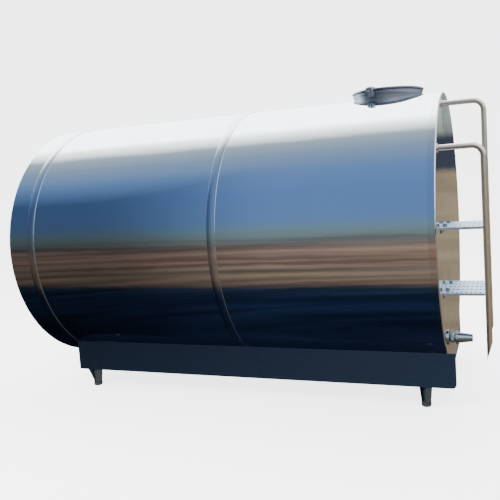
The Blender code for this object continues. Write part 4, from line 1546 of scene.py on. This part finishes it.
    def end_view(self, sheet: NodeSheet, ray: Socket, parts: Node) -> Socket:
        """What the right end mirrors: gravel, a dark hedge line and a broken bright tree line.

        Args:
            sheet: Tree helper.
            ray: Direction socket.
            parts: Node that gives the direction's X, Y and Z.

        Returns:
            Colour socket of the view.
        """
        share = sheet.maths("ADD", sheet.maths("MULTIPLY", parts.outputs["Z"], 0.5), 0.5)
        bands = sheet.ramp(share, [(0.0, (0.16, 0.13, 0.10)), (0.36, (0.30, 0.24, 0.17)),
                                   (0.47, (0.40, 0.32, 0.22)), (0.499, (0.36, 0.28, 0.19)),
                                   (0.503, (0.050, 0.062, 0.095)), (0.528, (0.045, 0.056, 0.085)),
                                   (0.534, (0.26, 0.30, 0.27)), (0.565, (0.55, 0.62, 0.62)),
                                   (0.62, (1.1, 1.2, 1.25)), (1.0, (2.4, 2.5, 2.6))])
        leaves = self.reach(sheet, self.streaks(sheet, ray, (3.0, 3.0, 1.2), 16.0), 0.36, 0.64, 0.25, 2.4)
        trees = sheet.maths("MULTIPLY", self.reach(sheet, share, 0.528, 0.536),
                            self.reach(sheet, share, 0.66, 0.58))
        stones = self.reach(sheet, self.streaks(sheet, ray, (2.0, 2.0, 5.0), 12.0), 0.30, 0.70, 0.78, 1.22)
        gravel = self.reach(sheet, share, 0.502, 0.498)
        shade = sheet.maths("ADD", sheet.maths("MULTIPLY", trees, sheet.maths("SUBTRACT", leaves, 1.0)), 1.0)
        rough = sheet.maths("ADD", sheet.maths("MULTIPLY", gravel, sheet.maths("SUBTRACT", stones, 1.0)), 1.0)
        return self.scaled(sheet, bands, sheet.maths("MULTIPLY", shade, rough))

    @staticmethod
    def sky() -> list[tuple[float, Colour]]:
        """Colours by angle: 0 at the front horizon, 90 overhead, -90 straight down."""
        return [(-180, (0.004, 0.009, 0.022)), (-80, (0.005, 0.010, 0.026)), (-55, (0.009, 0.019, 0.050)),
                (-43, (0.018, 0.030, 0.056)), (-39, (0.17, 0.115, 0.085)), (-34, (0.24, 0.17, 0.120)),
                (-27, (0.20, 0.155, 0.115)), (-18, (0.29, 0.185, 0.140)), (-9, (0.30, 0.205, 0.155)),
                (-3, (0.155, 0.150, 0.140)), (3, (0.20, 0.26, 0.26)), (9, (0.18, 0.30, 0.38)),
                (17, (0.15, 0.27, 0.53)), (40, (0.135, 0.27, 0.60)), (60, (0.17, 0.31, 0.60)),
                (78, (0.31, 0.44, 0.63)), (91, (0.54, 0.66, 0.72)), (104, (3.2, 3.4, 3.2)),
                (112, (6.5, 6.6, 6.5)), (160, (6.0, 6.2, 6.3)), (176, (1.2, 1.4, 1.5))]

    def lights(self) -> None:
        """Hang soft lamps above and in front."""
        for name, place, aim, size, power in (
                ("key_lamp", (-2.5, -4.5, 5.5), (0.0, 0.0, 0.8), 4.0, 620.0),
                ("top_lamp", (0.5, 1.5, 6.0), (0.0, 0.0, 1.0), 5.0, 620.0)):
            data = bpy.data.lights.new(name, "AREA")
            data.shape, data.size, data.energy = "DISK", size, power
            lamp = bpy.data.objects.new(name, data)
            lamp.location = place
            lamp.rotation_euler = (Vector(aim) - Vector(place)).to_track_quat("-Z", "Y").to_euler()
            lamp.visible_glossy = False
            bpy.context.scene.collection.objects.link(lamp)

    def camera(self) -> None:
        """Place the camera."""
        ahead = Vector((math.sin(self.yaw) * math.cos(self.pitch), math.cos(self.yaw) * math.cos(self.pitch),
                        math.sin(self.pitch)))
        right = Vector((math.cos(self.yaw), -math.sin(self.yaw), 0.0))
        top = right.cross(ahead)
        across = right * math.cos(self.roll) + top * math.sin(self.roll)
        upward = top * math.cos(self.roll) - right * math.sin(self.roll)
        data = bpy.data.cameras.new("camera")
        data.sensor_width = 36.0
        data.lens = self.lens
        data.shift_x, data.shift_y = self.shift
        data.clip_end = 500.0
        item = bpy.data.objects.new("camera", data)
        turn = Matrix((across, upward, -ahead)).transposed()
        item.matrix_world = Matrix.Translation(self.eye) @ turn.to_4x4()
        bpy.context.scene.collection.objects.link(item)
        bpy.context.scene.camera = item

    def build(self) -> None:
        """Set the whole stage."""
        self.floor()
        self.surroundings()
        self.lights()
        self.camera()


def main() -> None:
    """Build the stage and every sub-assembly in order."""
    logging.basicConfig(level=logging.INFO, format="%(name)s %(message)s")
    Studio().build()
    shell = TankShell()
    manway = Manway()
    shell.build(manway.hole())
    manway.build(shell)
    Base().build()
    Ladder().build()
    Outlet().build()


if __name__ == "__main__":
    main()
